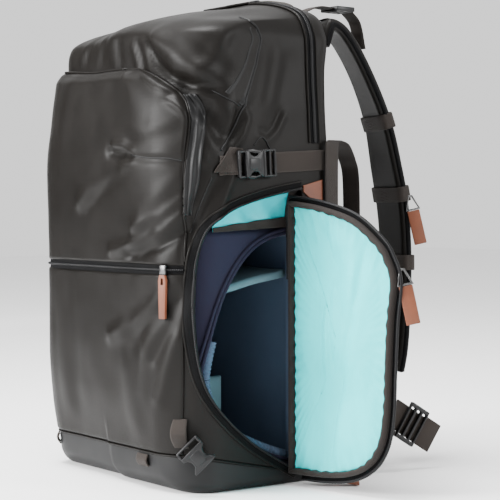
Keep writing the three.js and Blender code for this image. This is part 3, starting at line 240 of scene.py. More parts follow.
# Outlines and routes as shares of the sizes above
OPENING_OUTLINE = [
    (0.00, 0.000), (0.26, 0.062), (0.51, 0.131), (0.80, 0.245), (0.95, 0.383), (1.00, 0.624), (0.945, 0.825),
    (0.76, 0.911), (0.42, 0.964), (0.00, 1.000),
]
INSERT_OUTLINE = [
    (0.88, 0.035), (0.62, 0.085), (0.33, 0.170), (0.17, 0.280), (0.12, 0.400), (0.18, 0.570), (0.27, 0.725),
    (0.42, 0.860), (0.60, 0.940), (0.88, 0.985),
]
DOOR_OUTLINE = [
    (0.00, 0.000), (0.35, 0.004), (0.60, 0.024), (0.78, 0.072), (0.89, 0.150), (0.935, 0.260), (0.95, 0.400),
    (0.97, 0.580), (1.00, 0.720), (0.94, 0.800), (0.85, 0.856), (0.62, 0.935), (0.30, 0.980), (0.00, 1.000),
]
SHOULDER_ROUTE = [
    (0.00, 0.908), (0.07, 0.944), (0.18, 0.963), (0.38, 0.944), (0.62, 0.867), (0.83, 0.760), (0.94, 0.648),
    (1.01, 0.558), (1.04, 0.456), (1.03, 0.344), (1.00, 0.254), (0.95, 0.198),
]
HIP_ROUTE = [(0.36, 0, 0), (0.50, 0.04, 0), (0.60, 0.24, 0.02), (0.65, 0.56, 0.09), (0.67, 0.96, 0.24)]


def sizes():
    """The sizes held by the sidebar."""
    return bpy.context.scene.bag_sizes


def size_of(name):
    """One of those sizes in millimetres."""
    return getattr(sizes(), name) / MM


def ramp(value):
    """Smooth step from 0 to 1."""
    t = np.clip(value, 0, 1)
    return t * t * (3 - 2 * t)


def lerp(a, b, t):
    """The value a share t of the way from a to b."""
    return a + (b - a) * t


def unit(vectors):
    """Vectors of length 1."""
    vectors = np.asarray(vectors, float)
    return vectors / np.maximum(np.linalg.norm(vectors, axis=-1, keepdims=True), 1e-9)


def stack(x, y, z):
    """Points from their coordinates."""
    return np.stack(np.broadcast_arrays(x, y, z), axis=-1).astype(float)


def section_at(z):
    """Half width, front, back and the two corner radii at a height, all in millimetres."""
    share = np.clip(np.asarray(z, float) / BAG_HEIGHT, 0, 1)
    i = np.clip(np.searchsorted(HEIGHTS, share, side="right") - 1, 0, len(HEIGHTS) - 2)
    span = (HEIGHTS[i + 1] - HEIGHTS[i])[..., None]
    t = np.clip((share - HEIGHTS[i])[..., None] / span, 0, 1)
    value = SHARES[i] * (2 * t**3 - 3 * t**2 + 1) + SHARES[i + 1] * (3 * t**2 - 2 * t**3)
    value = value + span * (SLOPES[i] * (t**3 - 2 * t**2 + t) + SLOPES[i + 1] * (t**3 - t**2))
    return np.moveaxis(value * SECTION_SIZES, -1, 0)


def insert_section(z):
    """The same five numbers for the padded insert, which is alike at all heights."""
    ones = np.ones_like(np.asarray(z, float))
    return (ones * INSERT_WIDTH / 2, -ones * INSERT_DEPTH / 2, ones * INSERT_DEPTH / 2,
            ones * INSERT_CORNER, ones * INSERT_CORNER)


def stretches(section):
    """Lengths of half a section's front, front corner, side, back corner and back."""
    w, f, b, rf, rb = section
    return [w - rf, rf * np.pi / 2, (b - rb) - (f + rf), rb * np.pi / 2, w - rb]


def offset_from(arc, z, a, b):
    """Distance of places on the cloth from the line between a and b, and which side of it they lie."""
    d = b - a
    px, pz = arc - a[0], z - a[1]
    t = np.clip((px * d[0] + pz * d[1]) / (d @ d), 0, 1)
    return np.hypot(px - t * d[0], pz - t * d[1]), (px * d[1] - pz * d[0]) / np.hypot(*d)


def fold_height(arc, z):
    """Sum of the folds' heights at a place on the cloth. The back of the left side mirrors the right one's."""
    total = np.zeros(np.broadcast(arc, z).shape)
    cloth = np.array([BAG_WIDTH / 2, BAG_HEIGHT])
    for x1, z1, x2, z2, depth, width in FOLDS:
        away, _ = offset_from(arc, z, np.array([x1, z1]) * cloth, np.array([x2, z2]) * cloth)
        total = total + depth * FOLD_DEPTH * np.exp(-(away / (width * FOLD_WIDTH))**2)
    arc = np.where(arc < -BAG_WIDTH / 2, -arc, arc)
    for points, ridge, pair, width in FINE_FOLDS:
        line = np.array(points) * cloth
        nearest = np.full(total.shape, np.inf)
        signed = np.zeros(total.shape)
        for a, b in zip(line[:-1], line[1:]):
            away, side = offset_from(arc, z, a, b)
            signed = np.where(away < nearest, side, signed)
            nearest = np.minimum(away, nearest)
        bell = np.exp(-((nearest / width) ** 2))
        total = total + CREASE_DEPTH * (ridge + pair * np.clip(signed / width, -1.2, 1.2)) * bell
    return total


def around(section, arc, lift):
    """Points at arc lengths round a rounded section, pushed out by lift, as x and y."""
    w, f, b, rf, rb = section
    parts = stretches(section)
    ends = np.cumsum(parts, axis=0)
    rest = np.abs(arc)
    turn1 = np.clip((rest - ends[0]) / rf, 0, np.pi / 2)
    turn2 = np.clip((rest - ends[2]) / rb, 0, np.pi / 2)
    choose = [rest <= ends[0], rest <= ends[1], rest <= ends[2], rest <= ends[3]]
    nx = np.select(choose, [0 * rest, np.sin(turn1), 1 + 0 * rest, np.cos(turn2)], 0)
    ny = np.select(choose, [-1 + 0 * rest, -np.cos(turn1), 0 * rest, np.sin(turn2)], 1)
    x = np.select(choose, [rest, w - rf + rf * nx, w + 0 * rest, w - rb + rb * nx],
                  np.maximum(0, w - rb - (rest - ends[3])))
    y = np.select(choose, [f + 0 * rest, f + rf + rf * ny, f + rf + rest - ends[1], b - rb + rb * ny],
                  b + 0 * rest)
    side = np.where(np.asarray(arc) < 0, -1.0, 1.0)
    return side * (x + nx * lift), y + ny * lift


def wobble(points, size, seed):
    """Smooth noise from -1 to 1 at points, with features about size millimetres across."""
    flat = np.asarray(points, float).reshape(-1, 3) / size + seed
    values = [noise.noise(Vector(p)) for p in flat]
    return np.array(values).reshape(np.asarray(points).shape[:-1])


def on_bag(z, arc, off=0.0):
    """Points on the bag's outer cloth at a height and an arc length from the front's middle."""
    z, arc, off = np.broadcast_arrays(np.asarray(z, float), np.asarray(arc, float), np.asarray(off, float))
    tuck = -BASE_TUCK * (1 - ramp(z / (2 * SEAM_FRONT_HEIGHT)))
    lift = off + fold_height(arc, z) + np.where(arc > 0, 0, tuck)
    section = section_at(z)
    x, y = around(section, arc, 0)
    slack = 1.5 * wobble(stack(x, y, z * 0.6), 62, 4.3) + 0.5 * wobble(stack(x, y, z * 0.8), 24, 8.1)
    x, y = around(section, arc, lift + slack * sizes().slack * ramp(z / 60))
    crown = HOOD_RISE * np.exp(-(((arc - 15) / 62) ** 2)) * ramp((z - 385) / 65) * (1 - ramp((z - 462) / 13))
    return stack(x, y, z + crown)


def arc_at_side(z, y, section_of=section_at):
    """Arc length from the front's middle to a depth y on the side."""
    section = section_of(z)
    _, f, b, rf, rb = section
    parts = stretches(section)
    front = parts[0] + rf * np.arccos(np.clip((f + rf - y) / rf, 0, 1))
    middle = parts[0] + parts[1] + (y - f - rf)
    rear = parts[0] + parts[1] + parts[2] + rb * np.arcsin(np.clip((y - b + rb) / rb, 0, 1))
    return np.select([y < f + rf, y <= b - rb], [front, middle], rear)


def on_side(y, z, off=0.0, side=1):
    """Points on the right or left side at a depth and a height."""
    return on_bag(z, side * arc_at_side(z, y), off)


def true_skin(y, z, off, side=1):
    """Point on the side or roof, pushed out along the surface's own normal."""
    up = on_side(y, np.minimum(z + 1, BAG_HEIGHT), 0, side) - on_side(y, z - 1, 0, side)
    along = on_side(y + 1, z, 0, side) - on_side(y - 1, z, 0, side)
    return on_side(y, z, 0, side) + unit(np.cross(along, up)) * np.asarray(side * off)[..., None]


def back_at(z):
    """Reach of the back at a height."""
    return float(section_at(z)[2])


def front_seam_arc(z):
    """Arc length to the seam between the pocket and the side."""
    w, _, _, rf, _ = section_at(z)
    return w - rf * (1 - POCKET_WRAP)


def curve(points, share):
    """Points on a smooth curve through some points, at shares of its run counted in points."""
    points = np.asarray(points, float)
    ring = np.vstack([2 * points[0] - points[1], points, 2 * points[-1] - points[-2]])
    at = np.clip(np.asarray(share, float), 0, 1) * (len(points) - 1)
    i = np.minimum(at.astype(int), len(points) - 2)
    t = (at - i)[..., None]
    p0, p1, p2, p3 = ring[i], ring[i + 1], ring[i + 2], ring[i + 3]
    return 0.5 * (2 * p1 + (p2 - p0) * t + (2 * p0 - 5 * p1 + 4 * p2 - p3) * t**2
                  + (3 * p1 - p0 - 3 * p2 + p3) * t**3)


def run_of(line):
    """Length of a polyline up to each of its points."""
    return np.concatenate([[0], np.cumsum(np.linalg.norm(np.diff(line, axis=0), axis=1))])


def even(line, count, closed=False):
    """The same polyline with evenly spaced points."""
    line = np.asarray(line, float)
    if closed:
        line = np.vstack([line, line[:1]])
    length = run_of(line)
    at = np.linspace(0, length[-1], count, endpoint=not closed)
    return np.stack([np.interp(at, length, line[:, k]) for k in range(line.shape[1])], axis=1)


def smooth_line(points, count):
    """Evenly spaced points on a smooth curve through some points."""
    return even(curve(points, np.linspace(0, 1, 24 * len(points))), count)


def grown(outline, distance, middle):
    """Moves a flat outline outwards by a distance."""
    along = unit(np.gradient(outline, axis=0))
    normal = np.stack([along[:, 1], -along[:, 0]], axis=1)
    out = np.sign(np.sum(normal * (outline - np.asarray(middle)), axis=1, keepdims=True))
    return outline + normal * out * distance


def inside(outline, points):
    """True where flat points lie inside a closed outline."""
    hit = np.zeros(len(points), bool)
    a, b = outline, np.roll(outline, -1, axis=0)
    for (x1, y1), (x2, y2) in zip(a, b):
        if y1 == y2:
            continue
        crosses = (y1 > points[:, 1]) != (y2 > points[:, 1])
        hit ^= crosses & (points[:, 0] < (x2 - x1) * (points[:, 1] - y1) / (y2 - y1) + x1)
    return hit


def opening_point(forward, up):
    """Depth and height of a share of the opening."""
    return HINGE_Y - forward * OPENING_DEPTH, OPENING_LOW + up * OPENING_HEIGHT


def insert_point(forward, up):
    """Depth and height of a share of the insert."""
    return (forward - 0.5) * INSERT_DEPTH, INSERT_LOW + up * INSERT_HEIGHT


OPENING = smooth_line([opening_point(a, b) for a, b in OPENING_OUTLINE], 240)
OPENING_MIDDLE = opening_point(0.4, 0.5)
MOUTH = smooth_line([insert_point(a, b) for a, b in INSERT_OUTLINE], 220)
MOUTH_MIDDLE = insert_point(0.55, 0.5)


# Materials
def feed(tree, socket, value):
    """Links a socket to another one, or sets its constant."""
    if isinstance(value, bpy.types.NodeSocket):
        tree.links.new(value, socket)
    else:
        socket.default_value = value


def add_node(tree, kind, settings=None, **inputs):
    """A shader node. Inputs are given by name, with _ for a space, or by place as i0, i1 and so on."""
    made = tree.nodes.new(kind)
    for key, value in (settings or {}).items():
        setattr(made, key, value)
    for key, value in inputs.items():
        by_place = key[0] == "i" and key[1:].isdigit()
        feed(tree, made.inputs[int(key[1:]) if by_place else key.replace("_", " ")], value)
    return made


def maths(tree, operation, *values, clamp=False):
    """Result of a Math node."""
    return add_node(tree, "ShaderNodeMath", {"operation": operation, "use_clamp": clamp},
                    **{f"i{k}": v for k, v in enumerate(values)}).outputs[0]


def new_group(name, inputs, outputs):
    """An empty node group with named sockets. Each input is (name, kind, default)."""
    tree = bpy.data.node_groups.new(name, "ShaderNodeTree")
    for label, kind, default in inputs:
        socket = tree.interface.new_socket(label, in_out="INPUT", socket_type=kind)
        if default is not None:
            socket.default_value = default
    for label in outputs:
        tree.interface.new_socket(label, in_out="OUTPUT", socket_type="NodeSocketFloat")
    return tree, tree.nodes.new("NodeGroupInput"), tree.nodes.new("NodeGroupOutput")


FLOAT, VECTOR = "NodeSocketFloat", "NodeSocketVector"
RIPSTOP_LINE = 0.43
RIPSTOP_YARNS = 6


def group_weave():
    """Over-and-under weave: Height of the yarns and a Tone that differs a little from yarn to yarn."""
    tree, start, end = new_group("Weave", [("Vector", VECTOR, None), ("Across", FLOAT, 1.0), ("Along", FLOAT, 1.0)],
                                 ["Height", "Tone"])
    split = add_node(tree, "ShaderNodeSeparateXYZ", Vector=start.outputs["Vector"])
    x = maths(tree, "MULTIPLY", split.outputs[0], start.outputs["Across"])
    y = maths(tree, "MULTIPLY", split.outputs[1], start.outputs["Along"])
    wave_x = maths(tree, "SINE", maths(tree, "MULTIPLY", x, math.tau))
    wave_y = maths(tree, "SINE", maths(tree, "MULTIPLY", y, math.tau))
    product = maths(tree, "MULTIPLY", wave_x, wave_y)
    height = maths(tree, "MULTIPLY_ADD", product, 0.5, 0.5)
    cell = add_node(tree, "ShaderNodeCombineXYZ", X=maths(tree, "FLOOR", x), Y=maths(tree, "FLOOR", y))
    random = add_node(tree, "ShaderNodeTexWhiteNoise", {"noise_dimensions": "2D"}, Vector=cell.outputs[0])
    tree.links.new(height, end.inputs["Height"])
    tree.links.new(random.outputs["Value"], end.inputs["Tone"])
    return tree


def group_ripstop():
    """Fine square grid of thicker yarns in a plain cloth."""
    tree, start, end = new_group("Ripstop", [("Vector", VECTOR, None), ("Scale", FLOAT, 1.0)], ["Height", "Line"])
    split = add_node(tree, "ShaderNodeSeparateXYZ", Vector=start.outputs["Vector"])
    lines = []
    yarns = []
    for k in (0, 1):
        place = maths(tree, "MULTIPLY", split.outputs[k], start.outputs["Scale"])
        share = maths(tree, "FRACT", place)
        middle = maths(tree, "ABSOLUTE", maths(tree, "SUBTRACT", share, 0.5))
        lines.append(maths(tree, "GREATER_THAN", middle, RIPSTOP_LINE))
        yarns.append(maths(tree, "SINE", maths(tree, "MULTIPLY", place, math.tau * RIPSTOP_YARNS)))
    line = maths(tree, "MAXIMUM", *lines)
    plain = maths(tree, "MULTIPLY", maths(tree, "MULTIPLY", *yarns), 0.35)
    tree.links.new(maths(tree, "ADD", line, plain), end.inputs["Height"])
    tree.links.new(line, end.inputs["Line"])
    return tree


def group_grain():
    """Soft uneven grain: a fine Height, and a slow Tone for patches of handling and dust, which on the door's lining
    also paint the shade of its folds.
    """
    tree, start, end = new_group("Grain", [("Vector", VECTOR, None), ("Fine", FLOAT, 400.0), ("Slow", FLOAT, 14.0)],
                                 ["Height", "Tone"])
    for speed, detail, result in (("Fine", 4.0, "Height"), ("Slow", 3.0, "Tone")):
        cloud = add_node(tree, "ShaderNodeTexNoise", Vector=start.outputs["Vector"], Scale=start.outputs[speed],
                         Detail=detail)
        tree.links.new(cloud.outputs[0], end.inputs[result])
    return tree


def group_cells():
    """Open cells of a spacer mesh: Height of the walls and a Hole mask."""
    tree, start, end = new_group("Cells", [("Vector", VECTOR, None), ("Scale", FLOAT, 300.0)], ["Height", "Hole"])
    cell = add_node(tree, "ShaderNodeTexVoronoi", {"feature": "F1"}, Vector=start.outputs["Vector"],
                    Scale=start.outputs["Scale"], Randomness=0.25)
    hole = add_node(tree, "ShaderNodeMapRange", {"clamp": True}, Value=cell.outputs["Distance"],
                    From_Min=0.28, From_Max=0.42, To_Min=1.0, To_Max=0.0)
    wall = maths(tree, "SUBTRACT", 1.0, hole.outputs[0])
    tree.links.new(wall, end.inputs["Height"])
    tree.links.new(hole.outputs[0], end.inputs["Hole"])
    return tree


def group_wear():
    """Mask of the edges that rub."""
    tree, start, end = new_group("Edge wear", [("Amount", FLOAT, 0.5)], ["Mask"])
    shape = add_node(tree, "ShaderNodeNewGeometry")
    mask = add_node(tree, "ShaderNodeMapRange", {"clamp": True}, Value=shape.outputs["Pointiness"],
                    From_Min=0.52, From_Max=0.62, To_Min=0.0, To_Max=1.0)
    tree.links.new(maths(tree, "MULTIPLY", mask.outputs[0], start.outputs["Amount"]), end.inputs["Mask"])
    return tree


GROUP_MAKERS = {"Weave": group_weave, "Ripstop": group_ripstop, "Grain": group_grain, "Cells": group_cells,
                "Edge wear": group_wear}
GROUPS = {}
MATERIALS = {}


def place_group(tree, name, **inputs):
    """One of the node groups, built the first time, placed in a material with its own values."""
    if name not in GROUPS:
        GROUPS[name] = GROUP_MAKERS[name]()
    made = tree.nodes.new("ShaderNodeGroup")
    made.node_tree = GROUPS[name]
    for key, value in inputs.items():
        feed(tree, made.inputs[key], value)
    return made


def finish_material(name, low, high, roughness, bump=0.2, distance=0.0004, pattern="grain", across=1.0, along=1.0,
                    spread=0.08, metallic=0.0, sheen=0.0, specular=0.5, fine=500.0, slow=16.0, wear=0.0,
                    pattern_tone=0.4):
    """A procedural finish: two tones mixed by its pattern and a slow grain, with roughness and bump from the same."""
    if name in MATERIALS:
        return MATERIALS[name]
    material = bpy.data.materials.new(name)
    material.use_nodes = True
    tree = material.node_tree
    shader = tree.nodes["Principled BSDF"]
    where = add_node(tree, "ShaderNodeTexCoord")
    grain = place_group(tree, "Grain", Vector=where.outputs["Object"], Fine=fine, Slow=slow)
    own_uv = add_node(tree, "ShaderNodeUVMap", {"uv_map": "Cloth"})
    tone, height = grain.outputs["Tone"], grain.outputs["Height"]
    if pattern == "weave":
        weave = place_group(tree, "Weave", Vector=own_uv.outputs[0], Across=across, Along=along)
        height = maths(tree, "MULTIPLY_ADD", grain.outputs["Height"], 0.25, weave.outputs["Height"])
        tone = maths(tree, "MULTIPLY_ADD", weave.outputs["Height"], pattern_tone,
                     maths(tree, "MULTIPLY", grain.outputs["Tone"], 1 - pattern_tone))
    elif pattern == "ripstop":
        rip = place_group(tree, "Ripstop", Vector=own_uv.outputs[0], Scale=across)
        height = maths(tree, "MULTIPLY_ADD", rip.outputs["Height"], 0.6,
                       maths(tree, "MULTIPLY", grain.outputs["Height"], 0.5))
        tone = maths(tree, "MULTIPLY_ADD", rip.outputs["Line"], pattern_tone * 0.5, grain.outputs["Tone"])
    elif pattern == "cells":
        cells = place_group(tree, "Cells", Vector=where.outputs["Object"], Scale=across)
        height = cells.outputs["Height"]
        # The open cells take the darker tone and the walls the lighter: painted shade inside the cells.
        tone = maths(tree, "MULTIPLY_ADD", cells.outputs["Height"], pattern_tone,
                     maths(tree, "MULTIPLY", grain.outputs["Tone"], 1 - pattern_tone))
    contrast = add_node(tree, "ShaderNodeMapRange", {"clamp": True}, Value=tone, From_Min=0.25, From_Max=0.75,
                        To_Min=0.0, To_Max=1.0)
    if wear:
        edge = place_group(tree, "Edge wear", Amount=wear)
        mixed = maths(tree, "ADD", contrast.outputs[0], edge.outputs["Mask"], clamp=True)
    else:
        mixed = contrast.outputs[0]
    colour = add_node(tree, "ShaderNodeMix", {"data_type": "RGBA"}, i0=mixed, i6=(*low, 1), i7=(*high, 1))
    tree.links.new(colour.outputs[2], shader.inputs["Base Color"])
    gloss = add_node(tree, "ShaderNodeMapRange", {"clamp": True}, Value=grain.outputs["Tone"], From_Min=0.3,
                     From_Max=0.7, To_Min=max(0.02, roughness - spread), To_Max=min(1, roughness + spread))
    tree.links.new(gloss.outputs[0], shader.inputs["Roughness"])
    raised = add_node(tree, "ShaderNodeBump", Height=height, Strength=bump, Distance=distance)
    tree.links.new(raised.outputs[0], shader.inputs["Normal"])
    shader.inputs["Metallic"].default_value = metallic
    shader.inputs["Specular IOR Level"].default_value = specular
    shader.inputs["Sheen Weight"].default_value = sheen
    shader.inputs["Sheen Roughness"].default_value = 0.4
    MATERIALS[name] = material
    return material


def shades(colour, contrast):
    """A darker and a lighter shade of one colour."""
    low = tuple(max(0.0, c * (1 - contrast)) for c in colour)
    high = tuple(min(1.0, c * (1 + contrast)) for c in colour)
    return low, high


# Finishes: slot, contrast of the two tones, then the settings of finish_material
FINISH = {
    "shell_cloth": dict(slot="shell_cloth", contrast=0.14, roughness=0.40, spread=0.05, bump=0.22, distance=0.0003,
                        pattern="ripstop", across=0.25, pattern_tone=0.25, fine=900.0, specular=0.10),
    "base_cloth": dict(slot="base_cloth", contrast=0.12, roughness=0.52, spread=0.06, bump=0.15, distance=0.0002,
                       fine=1200.0, specular=0.22),
    # The lining's lighter and darker patches are partly painted shade of its folds, besides the tone of its yarns.
    "lining": dict(slot="lining", contrast=0.14, roughness=0.55, spread=0.05, bump=0.15, distance=0.0002,
                   pattern="weave", across=1.4, along=1.4, pattern_tone=0.15, sheen=0.05, specular=0.18),
    # The curtain is the lining's cloth in a darker colour: painted shade under the top of the opening.
    "curtain_cloth": dict(slot="lining", contrast=0.10, roughness=0.42, spread=0.05, bump=0.15, distance=0.0002,
                          pattern="weave", across=1.4, along=1.4, pattern_tone=0.15, specular=0.45),
    "binding": dict(slot="binding", contrast=0.30, roughness=0.75, bump=0.6, distance=0.0005, pattern="weave",
                    across=0.9, along=0.9, sheen=0.05, specular=0.15),
    "tape": dict(slot="tape", contrast=0.35, roughness=0.7, bump=0.5, distance=0.0004, pattern="weave",
                 across=1.2, along=1.2, specular=0.08),
    "coil": dict(slot="tape", contrast=0.2, roughness=0.42, bump=0.1, fine=700.0, specular=0.14),
    "webbing": dict(slot="webbing", contrast=0.34, roughness=0.72, bump=0.8, distance=0.0006, pattern="weave",
                    across=0.55, along=0.85, sheen=0.05, specular=0.18, wear=0.3),
    "insert_cloth": dict(slot="insert_cloth", contrast=0.15, roughness=0.85, bump=0.4, distance=0.0004, fine=900.0,
                         sheen=0.05, specular=0.12),
    # The insert's inside is the dividers' cloth in a darker colour: painted shade inside the insert.
    "insert_lining": dict(slot="divider_cloth", contrast=0.15, roughness=0.88, bump=0.4, distance=0.0004, fine=900.0,
                          sheen=0.05, specular=0.12),
    "divider_cloth": dict(slot="divider_cloth", contrast=0.12, roughness=0.9, bump=0.4, distance=0.0004, fine=1100.0,
                          sheen=0.05, specular=0.12),
    # Its cells come out darker than their walls: painted shade inside the cells.
    "mesh": dict(slot="mesh", contrast=0.55, roughness=0.75, bump=0.9, distance=0.0012, pattern="cells",
                 across=230.0, pattern_tone=0.75, sheen=0.05, specular=0.18),
    "plastic": dict(slot="plastic", contrast=0.15, roughness=0.42, bump=0.08, distance=0.0002, fine=1500.0,
                    specular=0.28, wear=0.35),
    "leather": dict(slot="leather", contrast=0.22, roughness=0.55, bump=0.45, distance=0.0003, fine=700.0, slow=60.0,
                    specular=0.4, wear=0.25),
    "metal": dict(slot="metal", contrast=0.1, roughness=0.28, bump=0.06, fine=900.0, metallic=1.0),
    "thread": dict(slot="tape", contrast=0.2, roughness=0.7, bump=0.2, fine=1500.0, specular=0.15),
}


def material_of(name):
    """The material of a finish in its colour from the sidebar."""
    settings = dict(FINISH[name])
    settings.pop("slot")
    low, high = shades(getattr(bpy.context.scene.bag_colours, name), settings.pop("contrast"))
    return finish_material(name, low, high, **settings)


# Pieces
def keep(piece, finish, nodes=(), extra=()):
    """Gives a piece its finish, its body and the frame nodes that it stands for."""
    piece.data.materials.clear()
    piece.data.materials.append(material_of(finish))
    for name in extra:
        piece.data.materials.append(material_of(name))
    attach(piece, "root")
    if nodes:
        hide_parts(*nodes)
    return piece


def as_object(name, bm, smooth=True):
    """An object at the origin with the mesh, which is used up."""
    mesh = bpy.data.meshes.new(name)
    bm.to_mesh(mesh)
    bm.free()
    if smooth:
        mesh.shade_smooth()
    piece = bpy.data.objects.new(name, mesh)
    bpy.context.scene.collection.objects.link(piece)
    return piece


def grid_mesh(columns, rows, place, size, merge=False):
    """A grid whose points are moved to place(u, v), in millimetres. Its UV map "Cloth" spans the cloth's size."""
    bm = bmesh.new()
    uv_layer = bm.loops.layers.uv.new("Cloth")
    bmesh.ops.create_grid(bm, x_segments=columns, y_segments=rows, size=0.5)
    flat = np.array([v.co[:2] for v in bm.verts])
    flat = (flat - flat.min(0)) / (flat.max(0) - flat.min(0))
    points = np.asarray(place(flat[:, 0], flat[:, 1]), float) * MM
    for vert, (u, v) in zip(bm.verts, flat):
        for loop in vert.link_loops:
            loop[uv_layer].uv = (u * size[0], v * size[1])
    for vert, point in zip(bm.verts, points):
        vert.co = point
    if merge:
        bmesh.ops.remove_doubles(bm, verts=bm.verts, dist=WELD_GRID)
    return bm


def outward(bm):
    """Turns a closed shape's faces outwards."""
    bmesh.ops.recalc_face_normals(bm, faces=bm.faces)
    return bm


def face_out(bm, centre):
    """Turns an open shape's faces so that most point away from a centre, in millimetres."""
    bm.normal_update()
    middle = Vector(centre) * MM
    score = sum(f.normal.dot(f.calc_center_median() - middle) for f in bm.faces)
    if score < 0:
        bmesh.ops.reverse_faces(bm, faces=bm.faces)


def thicken(piece, thickness, inner=0, rim=0):
    """A live wall thickness in millimetres, growing inwards. inner and rim are steps of its materials."""
    wall = piece.modifiers.new("Wall", "SOLIDIFY")
    wall.thickness = thickness * MM
    wall.offset = -1.0
    wall.use_even_offset = False
    wall.material_offset = inner
    wall.material_offset_rim = rim
    return piece


def sheet_piece(name, place, finish, nodes=(), *, grid, wall, cloth, centre=BAG_MIDDLE):
    """Cloth on the surface place(u, v), facing away from a centre. cloth is its size, wall its thickness."""
    bm = grid_mesh(*grid, place, cloth)
    face_out(bm, centre)
    return thicken(keep(as_object(name, bm), finish, nodes), wall)


def tube_mesh(path, radius, sides=8, up=(0.0, 0.0, 1.0), ripple=0.0, pitch=COIL_PITCH, flat=1.0):
    """A round or flattened tube along a path, with an optional ripple. Its flat side keeps close to up."""
    path = np.asarray(path, float)
    tangent = unit(np.gradient(path, axis=0))
    out = np.broadcast_to(np.asarray(up, float), path.shape)
    out = unit(out - tangent * np.sum(out * tangent, axis=1, keepdims=True))
    side = np.cross(tangent, out)
    length = run_of(path)

    def place(u, v):
        i = np.rint(u * (len(path) - 1)).astype(int)
        angle = v * math.tau
        r = radius * (1 + ripple * np.sin(math.tau * length[i] / pitch))
        return path[i] + (side[i] * np.cos(angle)[:, None] + out[i] * flat * np.sin(angle)[:, None]) * r[:, None]

    bm = grid_mesh(len(path) - 1, sides, place, (length[-1], radius * math.tau), merge=True)
    bmesh.ops.holes_fill(bm, edges=bm.edges, sides=sides + 1)
    return outward(bm)


def tube_piece(name, path, radius, finish, **shape):
    return keep(as_object(name, tube_mesh(path, radius, **shape)), finish)


def squared(angle, width_power, height_power):
    """Width and height of a unit circle that is pressed towards a box."""
    c, s = np.cos(angle), np.sin(angle)
    return np.sign(c) * np.abs(c)**width_power, np.sign(s) * np.abs(s)**height_power


def strap_mesh(path, across, width, thickness):
    """Webbing: a flat closed band along a path with rounded edges. across is its width direction at each point."""
    path = np.asarray(path, float)
    across = unit(np.broadcast_to(np.asarray(across, float), path.shape))
    out = unit(np.cross(unit(np.gradient(path, axis=0)), across))
    length = np.linalg.norm(np.diff(path, axis=0), axis=1).sum()

    def place(u, v):
        i = np.rint(u * (len(path) - 1)).astype(int)
        wide, high = squared(v * math.tau, 0.35, 0.5)
        lift = high * (thickness / 2) + thickness / 2
        return path[i] + across[i] * (width / 2 * wide)[:, None] + out[i] * lift[:, None]

    bm = grid_mesh(len(path) - 1, STRAP_SIDES, place, (length, 2 * width), merge=True)
    bmesh.ops.holes_fill(bm, edges=bm.edges, sides=STRAP_SIDES + 2)
    return outward(bm)


def strap_piece(name, path, across, width, thickness, nodes=()):
    return keep(as_object(name, strap_mesh(path, across, width, thickness)), "webbing", nodes)


def round_edges(bm, edges, radius):
    """Rounds edges by a radius in millimetres."""
    bmesh.ops.bevel(bm, geom=edges, offset=radius * MM, offset_type="OFFSET", segments=2, profile=0.5,
                    affect="EDGES", material=-1, clamp_overlap=True)


def block(bm, low, high, radius, matrix):
    """Adds a box between two corners, in millimetres of its own frame, with rounded edges."""
    size = Vector(high) - Vector(low)
    middle = (Vector(high) + Vector(low)) / 2
    made = bmesh.ops.create_cube(bm, size=1.0, matrix=matrix @ Matrix.Translation(middle * MM) @ Matrix.Diagonal(
        (*[s * MM for s in size], 1)))
    round_edges(bm, list({e for v in made["verts"] for e in v.link_edges}), radius)


def frame_matrix(origin, along, up):
    """A matrix for a frame with x along one direction and y near another, at an origin in millimetres."""
    x = Vector(along).normalized()
    z = x.cross(Vector(up)).normalized()
    y = z.cross(x)
    matrix = Matrix((x, y, z)).transposed().to_4x4()
    matrix.translation = Vector(origin) * MM
    return matrix


def stitch_run(bm, path, outs):
    """A row of short stitches along a path, lifted along outs."""
    along = run_of(path)
    for at in np.arange(STITCH_PITCH / 2, along[-1], STITCH_PITCH):
        i = max(1, min(np.searchsorted(along, at), len(path) - 1))
        tangent = Vector(unit(path[i] - path[i - 1]))
        out = Vector(unit(outs[i]))
        point = Vector([np.interp(at, along, path[:, k]) for k in range(3)]) + out * STITCH_LIFT
        matrix = frame_matrix(point, tangent, out.cross(tangent))
        bmesh.ops.create_cube(bm, size=1.0, matrix=matrix @ Matrix.Diagonal(
            (STITCH_LENGTH * MM, STITCH_THICKNESS * MM, STITCH_THICKNESS * MM, 1)))


def refined(node, finish, radius):
    """A rounded copy of a hard frame node, which it stands for."""
    bm = bmesh.new()
    bm.from_mesh(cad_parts[node].data)
    bmesh.ops.remove_doubles(bm, verts=bm.verts, dist=WELD_NODE)
    bmesh.ops.dissolve_limit(bm, angle_limit=FLAT_ANGLE, verts=bm.verts, edges=bm.edges)
    sharp = [e for e in bm.edges if len(e.link_faces) == 2 and e.calc_face_angle(0) > SHARP_ANGLE]
    round_edges(bm, sharp, radius)
    return keep(as_object(node + "_made", bm), finish, (node,))


def merged(parts):
    """One mesh from several."""
    whole = bmesh.new()
    whole.loops.layers.uv.new("Cloth")
    for part in parts:
        mesh = bpy.data.meshes.new("part")
        part.to_mesh(mesh)
        part.free()
        whole.from_mesh(mesh)
        bpy.data.meshes.remove(mesh)
    return whole


def roll(distance, radius):
    """Height share of a rounded edge at a distance from it."""
    t = np.clip(distance / radius, 0, 1)
    return np.sqrt(np.maximum(0, 1 - (1 - t) ** 2))


def facing(x, y, z):
    """A direction that is the same all over a piece."""
    return lambda u, v: stack(x + 0 * u, y + 0 * u, z + 0 * u)


def toward_ends(share, amount=0.5):
    """Moves even shares closer to both ends."""
    return lerp(share, 0.5 - 0.5 * np.cos(np.pi * share), amount)


